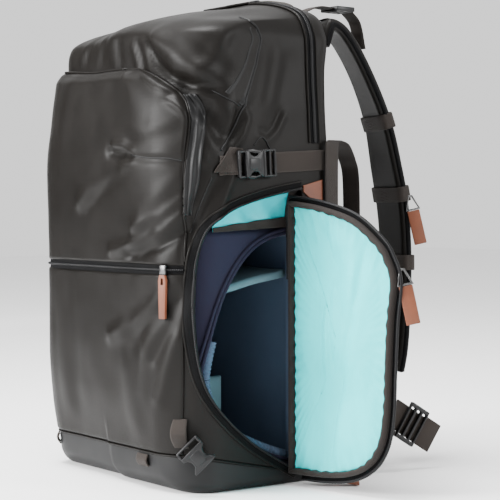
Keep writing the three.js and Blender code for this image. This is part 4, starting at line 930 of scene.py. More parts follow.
def pillow_mesh(surface, normal, grid, cloth, faces, radius, ends=0.5):
    """A closed padded slab about a surface(u, v). faces are the distances of its two faces along normal(u, v)."""
    low, high = faces
    halves = []
    for index, reach in enumerate(faces):
        def place(u, v):
            u, v = toward_ends(u, ends), toward_ends(v, ends)
            edge = np.minimum(np.minimum(u, 1 - u) * cloth[0], np.minimum(v, 1 - v) * cloth[1])
            middle = (low + high) / 2 if np.isscalar(low) and np.isscalar(high) else 0.0
            far = reach(u, v) if callable(reach) else reach
            return surface(u, v) + normal(u, v) * (middle + (far - middle) * roll(edge, radius))[..., None]
        bm = grid_mesh(*grid, place, cloth)
        for face in bm.faces:
            face.material_index = index
        halves.append(bm)
    bm = merged(halves)
    bmesh.ops.remove_doubles(bm, verts=bm.verts, dist=WELD_PILLOW)
    return outward(bm)


def pillow_piece(name, surface, normal, finishes, node, **shape):
    """A padded piece that stands for a node; finishes are those of its two faces."""
    piece = keep(as_object(name, pillow_mesh(surface, normal, **shape)), finishes[0], (node,), finishes[1:])


# The bag's own form
def ring_columns(right, left):
    """Columns round the bag as side, stretch and share of the stretch."""
    front = [(1, k, i / n) for k, n in enumerate(right) for i in range(n)] + [(1, 4, 1.0)]
    back = [(-1, k, i / n) for k, n in enumerate(left) for i in range(n)][1:]
    return np.array(front + back[::-1])


def ring_arcs(columns, z, section_of=section_at):
    """Arc lengths of columns at heights, one for each column."""
    parts = np.array(stretches(section_of(z)))
    starts = np.cumsum(parts, axis=0) - parts
    k, at = columns[:, 1].astype(int), np.arange(len(columns))
    return columns[:, 0] * (starts[k, at] + columns[:, 2] * parts[k, at])


def column_at(columns, u):
    """The columns that grid shares u fall on."""
    return columns[np.rint(u * len(columns)).astype(int) % len(columns)]


def seam_height(y):
    """Height of the base seam at a depth on the side."""
    return np.interp(y, [-FRONT_REACH + FRONT_CORNER / 2, HINGE_Y], [SEAM_FRONT_HEIGHT, SEAM_BACK_HEIGHT])


def seam_at(arc):
    """Height of the base seam at an arc length."""
    return seam_height(on_bag(SEAM_FRONT_HEIGHT * 0.8, arc)[..., 1])


def cut_hole(bm, outline, least_x, to_surface):
    """Opens the +X side inside a closed outline of y and z, and moves the rim of the hole on to the outline."""
    centres = np.array([f.calc_center_median()[:] for f in bm.faces]) / MM
    gone = inside(outline, centres[:, 1:]) & (centres[:, 0] > least_x)
    bm.faces.ensure_lookup_table()
    cut = [bm.faces[i] for i in np.nonzero(gone)[0]]
    rim = {v for f in cut for v in f.verts}
    bmesh.ops.delete(bm, geom=cut, context="FACES")
    closed = even(outline, 900, closed=True)
    for vert in rim:
        if vert.is_valid and vert.is_boundary:
            place = np.array(vert.co[:]) / MM
            near = closed[np.argmin(np.hypot(*(closed - place[1:]).T))]
            vert.co = Vector(to_surface(near[0], near[1])) * MM


def close_end(bm, at_end, sides):
    """Fills the holes whose edges lie at an end of the shape; at_end tests a height in metres."""
    rim = [e for e in bm.edges if e.is_boundary and all(at_end(v.co.z) for v in e.verts)]
    bmesh.ops.holes_fill(bm, edges=rim, sides=sides + 2)


OPENING_CLOSED = np.vstack([OPENING, [[HINGE_Y, OPENING_LOW + OPENING_HEIGHT]], [[HINGE_Y, OPENING_LOW]]])
BODY_COLUMNS = ring_columns([22, 22, 62, 12, 16], [18, 14, 18, 8, 12])
BODY_ROWS = 158
BOOT_ROWS = 16
BAG_GIRTH = 880.0
WALL_ROWS, ROOF_ROWS = 0.7, 0.3
SHELL_WALL = 1.8
BOOT_WALL = 2.2
END_SLOT = 2


def build_body():
    count = len(BODY_COLUMNS)

    def seam_of(column):
        return seam_at(ring_arcs(column, np.full(len(column), 30.0)))

    def body(u, v):
        column = column_at(BODY_COLUMNS, u)
        share = np.clip((v - WALL_ROWS) / ROOF_ROWS, 0, 1)
        roof = ROOF_FROM + (BAG_HEIGHT - ROOF_FROM) * (1 - (1 - share)**1.9)
        z = np.where(v < WALL_ROWS, lerp(seam_of(column) + 0.4, ROOF_FROM, v / WALL_ROWS), roof)
        return on_bag(z, ring_arcs(column, z))

    bm = grid_mesh(count, BODY_ROWS, body, (BAG_GIRTH, 470.0), merge=True)
    face_out(bm, BAG_MIDDLE)
    cut_hole(bm, OPENING_CLOSED, BAG_WIDTH / 4, on_side)
    close_end(bm, lambda z: z > (BAG_HEIGHT - END_SLOT) * MM, count)
    shell = keep(as_object("bag_shell", bm), "shell_cloth", ("body_shell",), ("base_cloth",))
    thicken(shell, SHELL_WALL, inner=1)

    def boot(u, v):
        column = column_at(BODY_COLUMNS, u)
        z = seam_of(column) * (0.02 + 0.98 * v)
        return on_bag(z, ring_arcs(column, z), 0.15)

    bm = grid_mesh(count, BOOT_ROWS, boot, (BAG_GIRTH, 34.0), merge=True)
    face_out(bm, BAG_MIDDLE)
    close_end(bm, lambda z: z < END_SLOT * MM, count)
    thicken(keep(as_object("bag_base", bm), "base_cloth", ("base_boot",)), BOOT_WALL)

    arcs = np.linspace(-330, 330, 400)
    tube_piece("base_seam", on_bag(seam_at(arcs) + 0.2, arcs, 0.6), 1.1, "shell_cloth", sides=6)


# Lines of sewing on the cloth, each as shares of half the width and of the height
SEAMS = {
    "hood_seam_right": [(0.86, 0.945), (1.05, 0.936), (1.25, 0.921), (1.35, 0.898), (1.33, 0.860), (1.28, 0.799),
                        (1.25, 0.762), (1.20, 0.704), (1.13, 0.674)],
    "hood_seam_across": [(1.00, 0.793), (1.11, 0.777), (1.24, 0.761)],
    "dart_upper": [(0.44, 0.667), (0.64, 0.660), (0.78, 0.658), (0.88, 0.653)],
    "side_seam": [(1.09, 0.620), (0.99, 0.548), (0.94, 0.512)],
    "patch": [(1.39, 0.686), (1.44, 0.702), (1.54, 0.677)],
}
HOOD_STRIP_LEFT = [(1.18, 0.923), (1.27, 0.900), (1.24, 0.865), (1.17, 0.818), (1.09, 0.790)]
HOOD_STRIP_RIGHT = [(1.25, 0.921), (1.35, 0.898), (1.33, 0.860), (1.28, 0.799), (1.24, 0.761)]


def on_pocket(arc, z, off):
    """Lift that lays something on the pocket's cloth."""
    return pocket_puff(np.clip(arc / pocket_half_span(z), -1, 1), z) + off


def build_seams():
    parts = []
    for name, table in SEAMS.items():
        line = smooth_line(np.array(table) * (BAG_WIDTH / 2, BAG_HEIGHT), 120)
        lift = on_pocket(line[:, 0], line[:, 1], CLOTH_OFF + 0.2) if name == "dart_upper" else 0.35
        radius = 1.1 if name == "hood_seam_right" else 0.7
        parts.append(tube_mesh(on_bag(line[:, 1], line[:, 0], lift), radius, sides=6))
    # The seams are tubes of the darker base cloth: the sewn lines are real, and their dark paints the shade of the
    # narrow valleys along them.
    keep(as_object("hood_seams", merged(parts)), "base_cloth")

    def strip(u, v):
        flat = lerp(curve(HOOD_STRIP_LEFT, v), curve(HOOD_STRIP_RIGHT, v), u[:, None])
        return on_bag(flat[:, 1] * BAG_HEIGHT, flat[:, 0] * BAG_WIDTH / 2, 0.5 - 0.9 * np.sin(np.pi * u))

    sheet_piece("hood_side_strip", strip, "base_cloth", grid=(12, 60), wall=0.8, cloth=(11.0, 80.0))


# Front pocket
def pocket_half_span(z, side=1):
    """Arc length from the front's middle to the pocket's edge, with the upper corners broader on the right."""
    above = np.clip((z - (POCKET_TOP - POCKET_CORNER)) / POCKET_CORNER, 0, 1)
    corner = np.where(np.asarray(side) < 0, POCKET_CORNER_LEFT, POCKET_CORNER_RIGHT)
    return front_seam_arc(z) - corner * (1 - np.sqrt(1 - above**2))


def pocket_tilt(arc, z):
    """Rise of the pocket's upper left corner."""
    return POCKET_TILT * ramp((-arc - 20) / 90) * ramp((z - POCKET_TILT_FROM) / (POCKET_TOP - POCKET_TILT_FROM))


def pocket_puff(a, z):
    """How far the pocket stands off the body, a being the share of the way from its middle to its side."""
    full = lerp(size_of("pocket_lower_puff"), size_of("pocket_puff"), ramp((z - ZIP_HEIGHT) / (BAG_HEIGHT * 0.22)))
    sides = ramp((1 - np.abs(a)) / 0.5)
    foot = ramp((z - SEAM_FRONT_HEIGHT) / 60)
    lip = POCKET_LIP * ramp((z - GUSSET_LOW) / (POCKET_TOP - GUSSET_LOW - POCKET_CORNER / 2))
    return (lip + full * sides * foot) * lerp(0.6, 1, ramp((POCKET_TOP - z) / 12))


POCKET_SPAN = 240.0


def pocket_part(name, low, high, rows, nodes):
    """The pocket's cloth between two heights."""
    def place(u, v):
        a = toward_ends(u, 0.45) * 2 - 1
        z = lerp(low, high, toward_ends(v, 0.55))
        span = pocket_half_span(z, a)
        edge = np.minimum((1 - np.abs(a)) * span, np.minimum(high - z, z - low))
        lift = 0.15 + (pocket_puff(a, z) + CLOTH_OFF) * roll(edge, 3.5)
        return on_bag(z + pocket_tilt(a * span, z), a * span, lift)

    sheet_piece(name, place, "shell_cloth", nodes, grid=(120, rows), wall=1.4, cloth=(POCKET_SPAN, high - low))


def build_pocket():
    top, foot = ZIP_HEIGHT + size_of("zip_width") / 2, ZIP_HEIGHT - size_of("zip_width") / 2
    pocket_part("pocket_upper_cloth", top - 1.2, POCKET_TOP, 96, ("pocket_upper",))
    pocket_part("pocket_lower_cloth", SEAM_FRONT_HEIGHT + 1.5, foot + 1.2, 84, ("pocket_lower",))

    def tape(u, v):
        a = u * 2 - 1
        z = lerp(foot - 1, top + 1, v)
        return on_bag(z, a * pocket_half_span(z), pocket_puff(a, z) * roll((1 - np.abs(a)) * 120, 5) + 0.7)

    sheet_piece("pocket_zip_tape", tape, "tape", ("pocket_zip",), grid=(100, 6), wall=0.8, cloth=(POCKET_SPAN, 11.0))
    a = np.linspace(-0.985, 0.985, 640)
    z = np.full(len(a), float(ZIP_HEIGHT))
    line = on_bag(z, a * pocket_half_span(z), pocket_puff(a, z) + 0.9)
    tube_piece("pocket_zip_coil", line, 2.2, "coil", ripple=0.16, flat=0.55)

    high = POCKET_TOP - POCKET_CORNER / 2

    def strip(side):
        def place(u, v):
            z = lerp(GUSSET_LOW, high, v)
            start = pocket_half_span(z, side) + 0.4
            across = size_of("gusset_width") * lerp(0.5, 1, ramp(v * 3))
            pleat = 0.9 * np.cos(u * math.tau * 2)
            return on_bag(z, side * (start + u * across), 1.8 + 2 * (1 - u) + pleat * roll(np.minimum(u, 1 - u), 0.2))
        return place

    def piping(arc, z, a):
        return on_bag(z + pocket_tilt(arc, z), arc, 0.55 * (pocket_puff(a, z) + CLOTH_OFF))

    edges = []
    z = np.linspace(ZIP_HEIGHT + 8, POCKET_TOP, 160)
    for side, label in SIDES:
        # The gussets are the shell's cloth, given the darker base cloth here as painted shade in their recess beside
        # the pocket.
        sheet_piece(f"gusset_{label}_cloth", strip(side), "base_cloth", (f"gusset_{label}",), grid=(16, 50),
                    wall=0.9, cloth=(14.0, 115.0))
        edges.append(piping(side * pocket_half_span(z, side), z, np.full_like(z, 0.99)))
    top = np.full(60, float(POCKET_TOP))
    arc = lerp(pocket_half_span(top, 1), -pocket_half_span(top, -1), np.linspace(0, 1, 60))
    line = even(np.vstack([edges[0], piping(arc, top, arc / 200)[1:-1], edges[1][::-1]]), 420)
    tube_piece("pocket_piping", line, 1.3, "shell_cloth", sides=7)


# Opening in the side, its zip, the insert and its dividers
def build_opening():
    width = size_of("tape_width")
    inner, outer = grown(OPENING, 0.4, OPENING_MIDDLE), grown(OPENING, width, OPENING_MIDDLE)
    last = len(OPENING) - 1

    def tape(u, v):
        i = np.rint(u * last).astype(int)
        flat = inner[i] + (outer[i] - inner[i]) * v[:, None]
        y = np.minimum(flat[:, 0], HINGE_Y - 1.5)
        return on_side(y, np.maximum(flat[:, 1], SEAM_BACK_HEIGHT / 2), 1.5)

    sheet_piece("opening_zip_tape", tape, "tape", ("opening_tape",), grid=(last, 4), wall=1.0, cloth=(620.0, 8.0),
                centre=(0, 0, 150))
    line = even(grown(OPENING, 1.6, OPENING_MIDDLE), 800)
    y = np.minimum(line[:, 0], HINGE_Y - 1.8)
    tube_piece("opening_zip_coil", on_side(y, line[:, 1], 2.2), 1.7, "coil", sides=7, ripple=0.18, flat=0.7)
    line = even(grown(OPENING, width + 0.4, OPENING_MIDDLE), 300)
    y = np.minimum(line[:, 0], HINGE_Y - 1.8)
    tube_piece("opening_welt", on_side(y, np.maximum(line[:, 1], 6), 0.9), 1.2, "shell_cloth", sides=6)


INSERT_COLUMNS = ring_columns([16, 14, 44, 14, 16], [10, 8, 14, 8, 10])
INSERT_ROWS = 84
INSERT_ROUND = 7.0
INSERT_FLAT, INSERT_TURN = 0.92, 0.08


def on_insert(y, z, off=0.0):
    """Points on the insert's +X side."""
    y, z, off = np.broadcast_arrays(np.asarray(y, float), np.asarray(z, float), np.asarray(off, float))
    x, y2 = around(insert_section(z), arc_at_side(z, y, insert_section), off)
    return stack(x, y2, z)


def build_insert():
    low, high = INSERT_LOW, INSERT_LOW + INSERT_HEIGHT

    def wall(u, v):
        t = (v - 0.5) * 2
        turn = np.clip((np.abs(t) - INSERT_FLAT) / INSERT_TURN, 0, 1) * np.pi / 2
        flat = np.clip(np.abs(t) / INSERT_FLAT, 0, 1) * ((high - low) / 2 - INSERT_ROUND)
        z = (low + high) / 2 + np.sign(t) * (flat + INSERT_ROUND * np.sin(turn))
        arc = ring_arcs(column_at(INSERT_COLUMNS, u), z, insert_section)
        x, y = around(insert_section(z), arc, -INSERT_ROUND * (1 - np.cos(turn)))
        return stack(x, y, z)

    bm = grid_mesh(len(INSERT_COLUMNS), INSERT_ROWS, wall, (660.0, 240.0), merge=True)
    face_out(bm, (0, 0, (low + high) / 2))
    cut_hole(bm, MOUTH, INSERT_WIDTH / 4, on_insert)
    close_end(bm, lambda z: z < (low + 1) * MM or z > (high - 1) * MM, len(INSERT_COLUMNS))
    # Its inside faces, and the ribbed lip below, take the insert lining: the dividers' cloth darkened as painted shade
    # inside the insert.
    shell = keep(as_object("insert_cloth_shell", bm), "insert_cloth", ("insert_shell",), ("insert_lining",))
    thicken(shell, INSERT_WALL - 0.6, inner=1, rim=1)

    parts = []
    for out, radius in ((1.6, 2.0), (5.2, 1.9)):
        line = even(grown(MOUTH, out, MOUTH_MIDDLE), 420)
        parts.append(tube_mesh(on_insert(line[:, 0], line[:, 1], 1.0), radius))
    keep(as_object("insert_mouth_piping", merged(parts)), "insert_cloth", ("insert_piping",))

    foot = even(grown(MOUTH, -3.2, MOUTH_MIDDLE)[:120], 420)
    tube_piece("insert_ribbed_lip", on_insert(foot[:, 0], foot[:, 1], -4.5), 4.6, "insert_lining", sides=10,
               ripple=0.07, pitch=4.2)

    half_x = INSERT_WIDTH / 2 - INSERT_WALL - 2
    half_y = INSERT_DEPTH / 2 - INSERT_WALL - 0.3
    notch = INSERT_CORNER - INSERT_WALL
    pad = size_of("divider") / 2
    brushed = ("divider_cloth", "divider_cloth")

    def shelf(u, v):
        x = lerp(-half_x, half_x, u)
        into = np.maximum(0, np.abs(x) - (half_x - notch))
        reach = half_y - notch + np.sqrt(np.maximum(notch**2 - into**2, 0))
        sag = SHELF_SAG * ramp(u) * (1 - v) - 7 * (1 - ramp(u * 1.2))
        ripple = 0.8 * np.sin(u * 9 + v * 4) * np.sin(v * 7)
        return stack(x, lerp(-reach, reach, v), SHELF_HEIGHT - sag + pad + ripple)

    pillow_piece("shelf_pad", shelf, facing(0, 0, 1), brushed, "divider_shelf", grid=(70, 50), cloth=(210.0, 126.0),
                 faces=(-pad, pad), radius=pad)

    foot_z = INSERT_LOW + INSERT_WALL + 0.3

    def lower(u, v):
        y = lerp(-half_y, INSERT_DEPTH * 0.02, u)
        x = INSERT_WIDTH * 0.24 + 6 * np.sin(np.pi * u) + pad
        return stack(x, y, lerp(foot_z, foot_z + 82, v))

    pillow_piece("lower_divider_pad", lower, facing(1, 0, 0), brushed, "divider_lower", grid=(34, 40),
                 cloth=(66.0, 82.0), faces=(-pad, pad), radius=pad)


CURTAIN_FOOT = [(0.79, 0.850), (0.00, 0.868)]
CURTAIN_TOP = [(0.82, 0.905), (0.62, 0.945), (0.35, 0.980), (0.00, 1.012)]


def curtain_at(a, b, off):
    """Points on the curtain: a runs to the hinge's side, b runs up and off is towards the outside."""
    foot = np.stack(opening_point(*np.moveaxis(curve(CURTAIN_FOOT, a), -1, 0)), axis=-1)
    top = np.stack(opening_point(*np.moveaxis(curve(CURTAIN_TOP, a), -1, 0)), axis=-1)
    flat = foot + (top - foot) * b[:, None]
    head = on_side(flat[:, 0], flat[:, 1], -6.0)[:, 0]
    fold = 2.4 * np.sin(a * 19 + 3 * b) * np.sin(np.pi * np.clip(b * 0.8 + 0.15, 0, 1)) * np.sin(np.pi * a)
    return stack(lerp(CURTAIN_PLANE, head, b * b) + off + fold, flat[:, 0], flat[:, 1])


def build_curtain():
    centre = (0, 0, 250)
    curtain = sheet_piece("curtain_cloth_sheet", lambda u, v: curtain_at(u, v, 0.6), "curtain_cloth", ("curtain",),
                          grid=(90, 34), wall=0.6, cloth=(96.0, 32.0), centre=centre)

    def line(table, t):
        """Points on a line of two straight runs."""
        k = np.minimum(1, np.floor(t * 2)).astype(int)
        table = np.array(table)
        return table[k] + (table[k + 1] - table[k]) * (t * 2 - k)[:, None]

    upright = 1 - CURTAIN_BINDING / 3
    inner = [[0, CURTAIN_BINDING], [upright, CURTAIN_BINDING], [upright, 1]]

    def strip(u, v):
        flat = line([[0, 0], [1, 0], [1, 1]], u) * (1 - v)[:, None] + line(inner, u) * v[:, None]
        return curtain_at(flat[:, 0], flat[:, 1], 2.2)

    sheet_piece("curtain_binding_strip", strip, "binding", ("curtain_binding",), grid=(120, 5), wall=1.4,
                cloth=(125.0, 8.0), centre=centre)


# Door
def door_at(p, q, t):
    """Points on the open door: p runs from the hinge, q runs up and t is towards the lining."""
    foot = float(section_at(DOOR_LOW + DOOR_HEIGHT * 0.15)[0])
    lean = float(section_at(DOOR_LOW + DOOR_HEIGHT)[0]) - foot
    hinge = np.array([foot + 0.3, HINGE_Y - 1.2, DOOR_LOW])
    away = np.array([math.sin(DOOR_ANGLE), -math.cos(DOOR_ANGLE), 0])
    out = unit(np.cross(away, [lean, 0, DOOR_HEIGHT]))
    up = np.cross(out, away)
    p, q, t = np.broadcast_arrays(p, q, t)
    return hinge + p[..., None] * away + q[..., None] * up + t[..., None] * out


DOOR_EDGE = smooth_line([(1 + a * (DOOR_REACH - 1), b * DOOR_HEIGHT) for a, b in DOOR_OUTLINE], 260)
DOOR_MIDDLE = np.array([DOOR_REACH * 0.45, DOOR_HEIGHT * 0.5])
DOOR_RING = even(np.vstack([DOOR_EDGE, [[1.0, DOOR_HEIGHT * 0.66], [1.0, DOOR_HEIGHT * 0.33]]]), 320, closed=True)


def ring_inset(ring, distance):
    """A closed ring moved inwards by distances."""
    along = unit(np.roll(ring, -1, axis=0) - np.roll(ring, 1, axis=0))
    for _ in range(6):
        along = unit(along + np.roll(along, 1, axis=0) + np.roll(along, -1, axis=0))
    normal = np.stack([along[:, 1], -along[:, 0]], axis=1)
    inward = -np.sign(np.sum(normal * (ring - DOOR_MIDDLE), axis=1, keepdims=True))
    return ring + normal * inward * np.broadcast_to(distance, (len(ring),))[:, None]


def polar_mesh(ring, profile, place):
    """A disc whose rings are shares of the way from the middle; profile rows are (share, data...)."""
    count, rows = len(ring), len(profile) - 1
    profile = np.array(profile, float)

    def at(u, v):
        i = np.rint(u * count).astype(int) % count
        k = np.rint(v * rows).astype(int)
        flat = DOOR_MIDDLE + (ring[i] - DOOR_MIDDLE) * profile[k, :1]
        return place(flat, profile[k], i)

    bm = outward(grid_mesh(count, rows, at, (1.0, 1.0), merge=True))
    uv_layer = bm.loops.layers.uv["Cloth"]
    for face in bm.faces:
        for loop in face.loops:
            loop[uv_layer].uv = (loop.vert.co.x / MM, loop.vert.co.z / MM)
    return bm


# Section of the door's board, as share of the way out and height, and of its binding, as inset and height
BOARD_SECTION = [
    (0, 5), (0.5, 5), (0.96, 5), (0.992, 4.2), (1.0, 2.5), (0.992, 0.8), (0.97, 0), (0.8, -1.0), (0.4, -1.8),
    (0, -2.0),
]
BINDING_SECTION = np.array([
    (0.2, 5.2), (-0.4, 7.5), (-0.3, 11.5), (0.7, 14.0), (2.4, 14.9), (4.4, 14.2), (5.2, 11.0), (5.0, 7.0), (3.0, 5.2),
])
BINDING_RUN = 760
LINING_INSET = 5.0

# Long folds of the lining: where they start, their slant, depth and width
LINING_FOLDS = ((34, 0.03, 2.4, 4.5), (52, -0.02, 1.6, 3.5), (40, 0.24, 2.6, 6.0))


def build_door():
    bm = polar_mesh(DOOR_RING, BOARD_SECTION, lambda flat, row, i: door_at(flat[:, 0], flat[:, 1], row[:, 1]))
    panel = keep(as_object("door_board", bm), "shell_cloth", ("door_panel",))

    count, sides = len(DOOR_RING), len(BINDING_SECTION)
    length = np.linspace(0, BINDING_RUN, count, endpoint=False)
    scallop = 0.9 * np.sin(length / BINDING_RUN * math.tau * 52) * np.sin(length / BINDING_RUN * math.tau * 5)
    insets = np.array([ring_inset(DOOR_RING, d + (scallop * np.clip((d - 2) / 3, 0, 1)))
                       for d in BINDING_SECTION[:, 0]])

    def rim(u, v):
        i = np.rint(u * count).astype(int) % count
        k = np.rint(v * sides).astype(int) % sides
        flat = insets[k, i]
        return door_at(flat[:, 0], flat[:, 1], BINDING_SECTION[k, 1])

    bm = outward(grid_mesh(count, sides, rim, (BINDING_RUN, 30.0), merge=True))
    keep(as_object("door_binding", bm), "binding", ("door_rim",))

    rings = [(s,) for s in np.concatenate([[0], np.linspace(0.04, 0.9, 54), np.linspace(0.915, 1, 9)])]
    inner = ring_inset(DOOR_RING, LINING_INSET)

    def lining(flat, row, i):
        edge = (1 - row[:, 0]) * 55
        spread = np.stack([flat[:, 0] / 26, flat[:, 1] / 58, 0 * flat[:, 0]], axis=1)
        long_folds = wobble(spread, 1.0, 3.1)
        fine = wobble(np.stack([flat[:, 0] / 9, flat[:, 1] / 16, 0 * flat[:, 0]], axis=1), 1.0, 9.7)
        pleats = np.sin(i / count * math.tau * 58 + 2 * long_folds)
        drape = np.sin(flat[:, 0] / 11.5 + 1.6 * long_folds + flat[:, 1] / 120)
        t = 6.8 + (3.2 * long_folds + 2.0 * drape) * roll(edge, 16) + 0.6 * fine * roll(edge, 6)
        t = t + 0.8 * pleats * np.exp(-edge / 7)
        for base, slant, depth, width in LINING_FOLDS:
            t = t - depth * np.exp(-((flat[:, 0] - base - slant * flat[:, 1]) / width)**2) * roll(edge, 20)
        return door_at(flat[:, 0], flat[:, 1], np.maximum(t + 1.6, 5.6))

    bm = polar_mesh(inner, rings, lining)
    lining_piece = keep(as_object("door_lining_cloth", bm), "lining", ("door_lining",))
    if sum(f.normal.y for f in lining_piece.data.polygons) > 0:
        lining_piece.data.flip_normals()
    thicken(lining_piece, 0.5)

    edge = np.array([ring_inset(DOOR_RING, -d) for d in (0.2, 4.6)])
    first, last = 6, 236

    def tape(u, v):
        i = np.minimum(np.rint(u * (len(DOOR_RING) - 80)).astype(int) + first, last)
        flat = edge[0][i] + (edge[1][i] - edge[0][i]) * v[:, None]
        return door_at(flat[:, 0], flat[:, 1], 8.2 + 0 * u)

    sheet_piece("door_zip_tape", tape, "tape", grid=(230, 3), wall=0.9, cloth=(560.0, 5.0), centre=(200, 60, 150))
    line = even(edge[1][first:last], 700)
    tube_piece("door_zip_coil", door_at(line[:, 0], line[:, 1], np.full(700, 8.4)), 1.5, "coil", sides=7, ripple=0.18)


# Webbing and buckles of the sides and the base
def strap_height(y):
    """Height of the side strap's middle, which rises to the back."""
    return STRAP_HEIGHT + STRAP_RISE * (y - BUCKLE_FRONT_Y) / (BACK_REACH - BUCKLE_FRONT_Y)


def plate(bm, outline, low, high, radius, matrix):
    """Adds a moulded plate with a flat outline, between two heights, with rounded edges."""
    made = bmesh.ops.create_circle(bm, cap_ends=True, segments=len(outline), radius=1.0)["verts"]
    for vert, (x, y) in zip(made, outline):
        vert.co = Vector((x, y, low)) * MM
    face = next(f for f in made[0].link_faces if len(f.verts) == len(outline))
    raised = bmesh.ops.extrude_face_region(bm, geom=[face])["geom"]
    top = [v for v in raised if isinstance(v, bmesh.types.BMVert)]
    bmesh.ops.translate(bm, verts=top, vec=(0, 0, (high - low) * MM))
    verts = list(set(made) | set(top))
    edges = [e for e in {e for v in verts for e in v.link_edges} if len(e.link_faces) == 2]
    sharp = [e for e in edges if abs(e.verts[0].co.z - e.verts[1].co.z) < 1e-7]
    before = set(bm.verts) - set(verts)
    round_edges(bm, sharp, radius)
    bmesh.ops.transform(bm, matrix=matrix, verts=[v for v in bm.verts if v not in before])


def both_sides(half):
    """A closed outline from its upper half, which runs from low x to high x."""
    return half + [(x, -y) for x, y in reversed(half)]


# Outlines of the buckle's plates and the corners and edge radius of its bars, in millimetres from the socket's end
SOCKET_HALF = [
    (7, 12.6), (10.5, 12.8), (12.5, 9.2), (16, 7.4), (20.5, 7.6), (23, 10.4), (25.4, 12.6), (27, 12.4), (27.6, 9),
]
SOCKET_RAISED_HALF = [(10.5, 4.6), (13, 5.4), (21, 5.4), (23, 4.0)]
SOCKET_BARS = (
    ((0, -13.0, 0.8), (2.4, 13.0, 5.4), 1.0), ((0.6, -13.2, 0.8), (9, -10.7, 5.8), 1.0),
    ((0.6, 10.7, 0.8), (9, 13.2, 5.8), 1.0),
)
PRONG = [
    (8.5, 11.2), (11, 13.6), (16, 14.2), (22, 12.6), (27.5, 12.8), (29.5, 9.6), (24, 9.8), (19, 11.4), (14, 10.8),
]
PLUG_BARS = (
    ((28.0, -13.2, 0.8), (31.5, 13.2, 6.8), 1.3), ((31, -13.4, 1.2), (43, -11.0, 5.8), 1.0),
    ((31, 11.0, 1.2), (43, 13.4, 5.8), 1.0), ((42, -13.4, 1.2), (44.6, 13.4, 5.4), 1.1),
    ((35.6, -12, 2.4), (38.0, 12, 5.8), 0.9),
)


def buckle_piece(name, matrix, nodes, with_plug=True):
    """Side-release buckle: a waisted socket over the plug's prongs, and bars for the webbing."""
    bm = bmesh.new()
    bm.loops.layers.uv.new("Cloth")
    plate(bm, both_sides(SOCKET_HALF), 0.6, 7.6, 0.9, matrix)
    plate(bm, both_sides(SOCKET_RAISED_HALF), 7.2, 8.3, 0.5, matrix)
    for bar in SOCKET_BARS:
        block(bm, *bar, matrix)
    if with_plug:
        for side, _ in SIDES:
            plate(bm, [(x, side * y) for x, y in PRONG], 1.6, 6.4, 0.8, matrix)
        for bar in PLUG_BARS:
            block(bm, *bar, matrix)
    keep(as_object(name, outward(bm)), "plastic", nodes)


def build_compression():
    end = BUCKLE_FRONT_Y + BUCKLE_LENGTH
    x = float(on_side(0.0, float(STRAP_HEIGHT))[0]) + 2.5
    for side, label in SIDES:
        def tab(u, v):
            y = lerp(BUCKLE_FRONT_Y - 16, BUCKLE_FRONT_Y + 1.5, u)
            half = WEBBING * 0.46
            return on_side(y, strap_height(y) + lerp(-half, half, v), 1.9 + 1.4 * ramp((u - 0.8) * 5), side)

        def rear(u, v):
            y = lerp(end - 3, BACK_REACH - BACK_CORNER * 0.4, u)
            return on_side(y, strap_height(y) + (v - 0.5) * WEBBING, 1.9 + 1.8 * (1 - ramp(u * 8)), side)

        def patch(u, v):
            flat = lerp(curve([(1.10, 0.630), (1.19, 0.681)], v), curve([(1.30, 0.631), (1.29, 0.678)], v), u[:, None])
            return on_bag(flat[:, 1] * BAG_HEIGHT, side * flat[:, 0] * BAG_WIDTH / 2, 3.0)

        centre = (0, 0, STRAP_HEIGHT)
        sheet_piece(f"strap_patch_{label}", patch, "webbing", grid=(16, 16), wall=1.0, cloth=(22.0, 22.0),
                    centre=centre)
        for end_name, columns, place, run in (("front", 16, tab, 25.0), ("rear", 50, rear, 78.0)):
            sheet_piece(f"strap_{end_name}_{label}_webbing", place, "webbing", (f"strap_{end_name}_{label}",),
                        grid=(columns, 10), wall=1.6, cloth=(run, 20.0), centre=centre)
        along = (0, BACK_REACH - BUCKLE_FRONT_Y, STRAP_RISE)
        matrix = frame_matrix((x, BUCKLE_FRONT_Y, STRAP_HEIGHT), along, (0, 0, 1))
        if side < 0:
            matrix = Matrix.Diagonal((-1, 1, 1, 1)) @ matrix
        buckle_piece(f"buckle_{label}_body", matrix, (f"buckle_socket_{label}", f"buckle_plug_{label}"))
    bm = bmesh.new()
    for y in (-47.0, 74.0, 80.0):
        line = on_side(np.full(12, y), strap_height(y) + np.linspace(-8, 8, 12), 2.2)
        stitch_run(bm, line, unit(line - (0, line[0, 1], 300)))
    keep(as_object("strap_bar_tacks", bm, smooth=False), "thread")


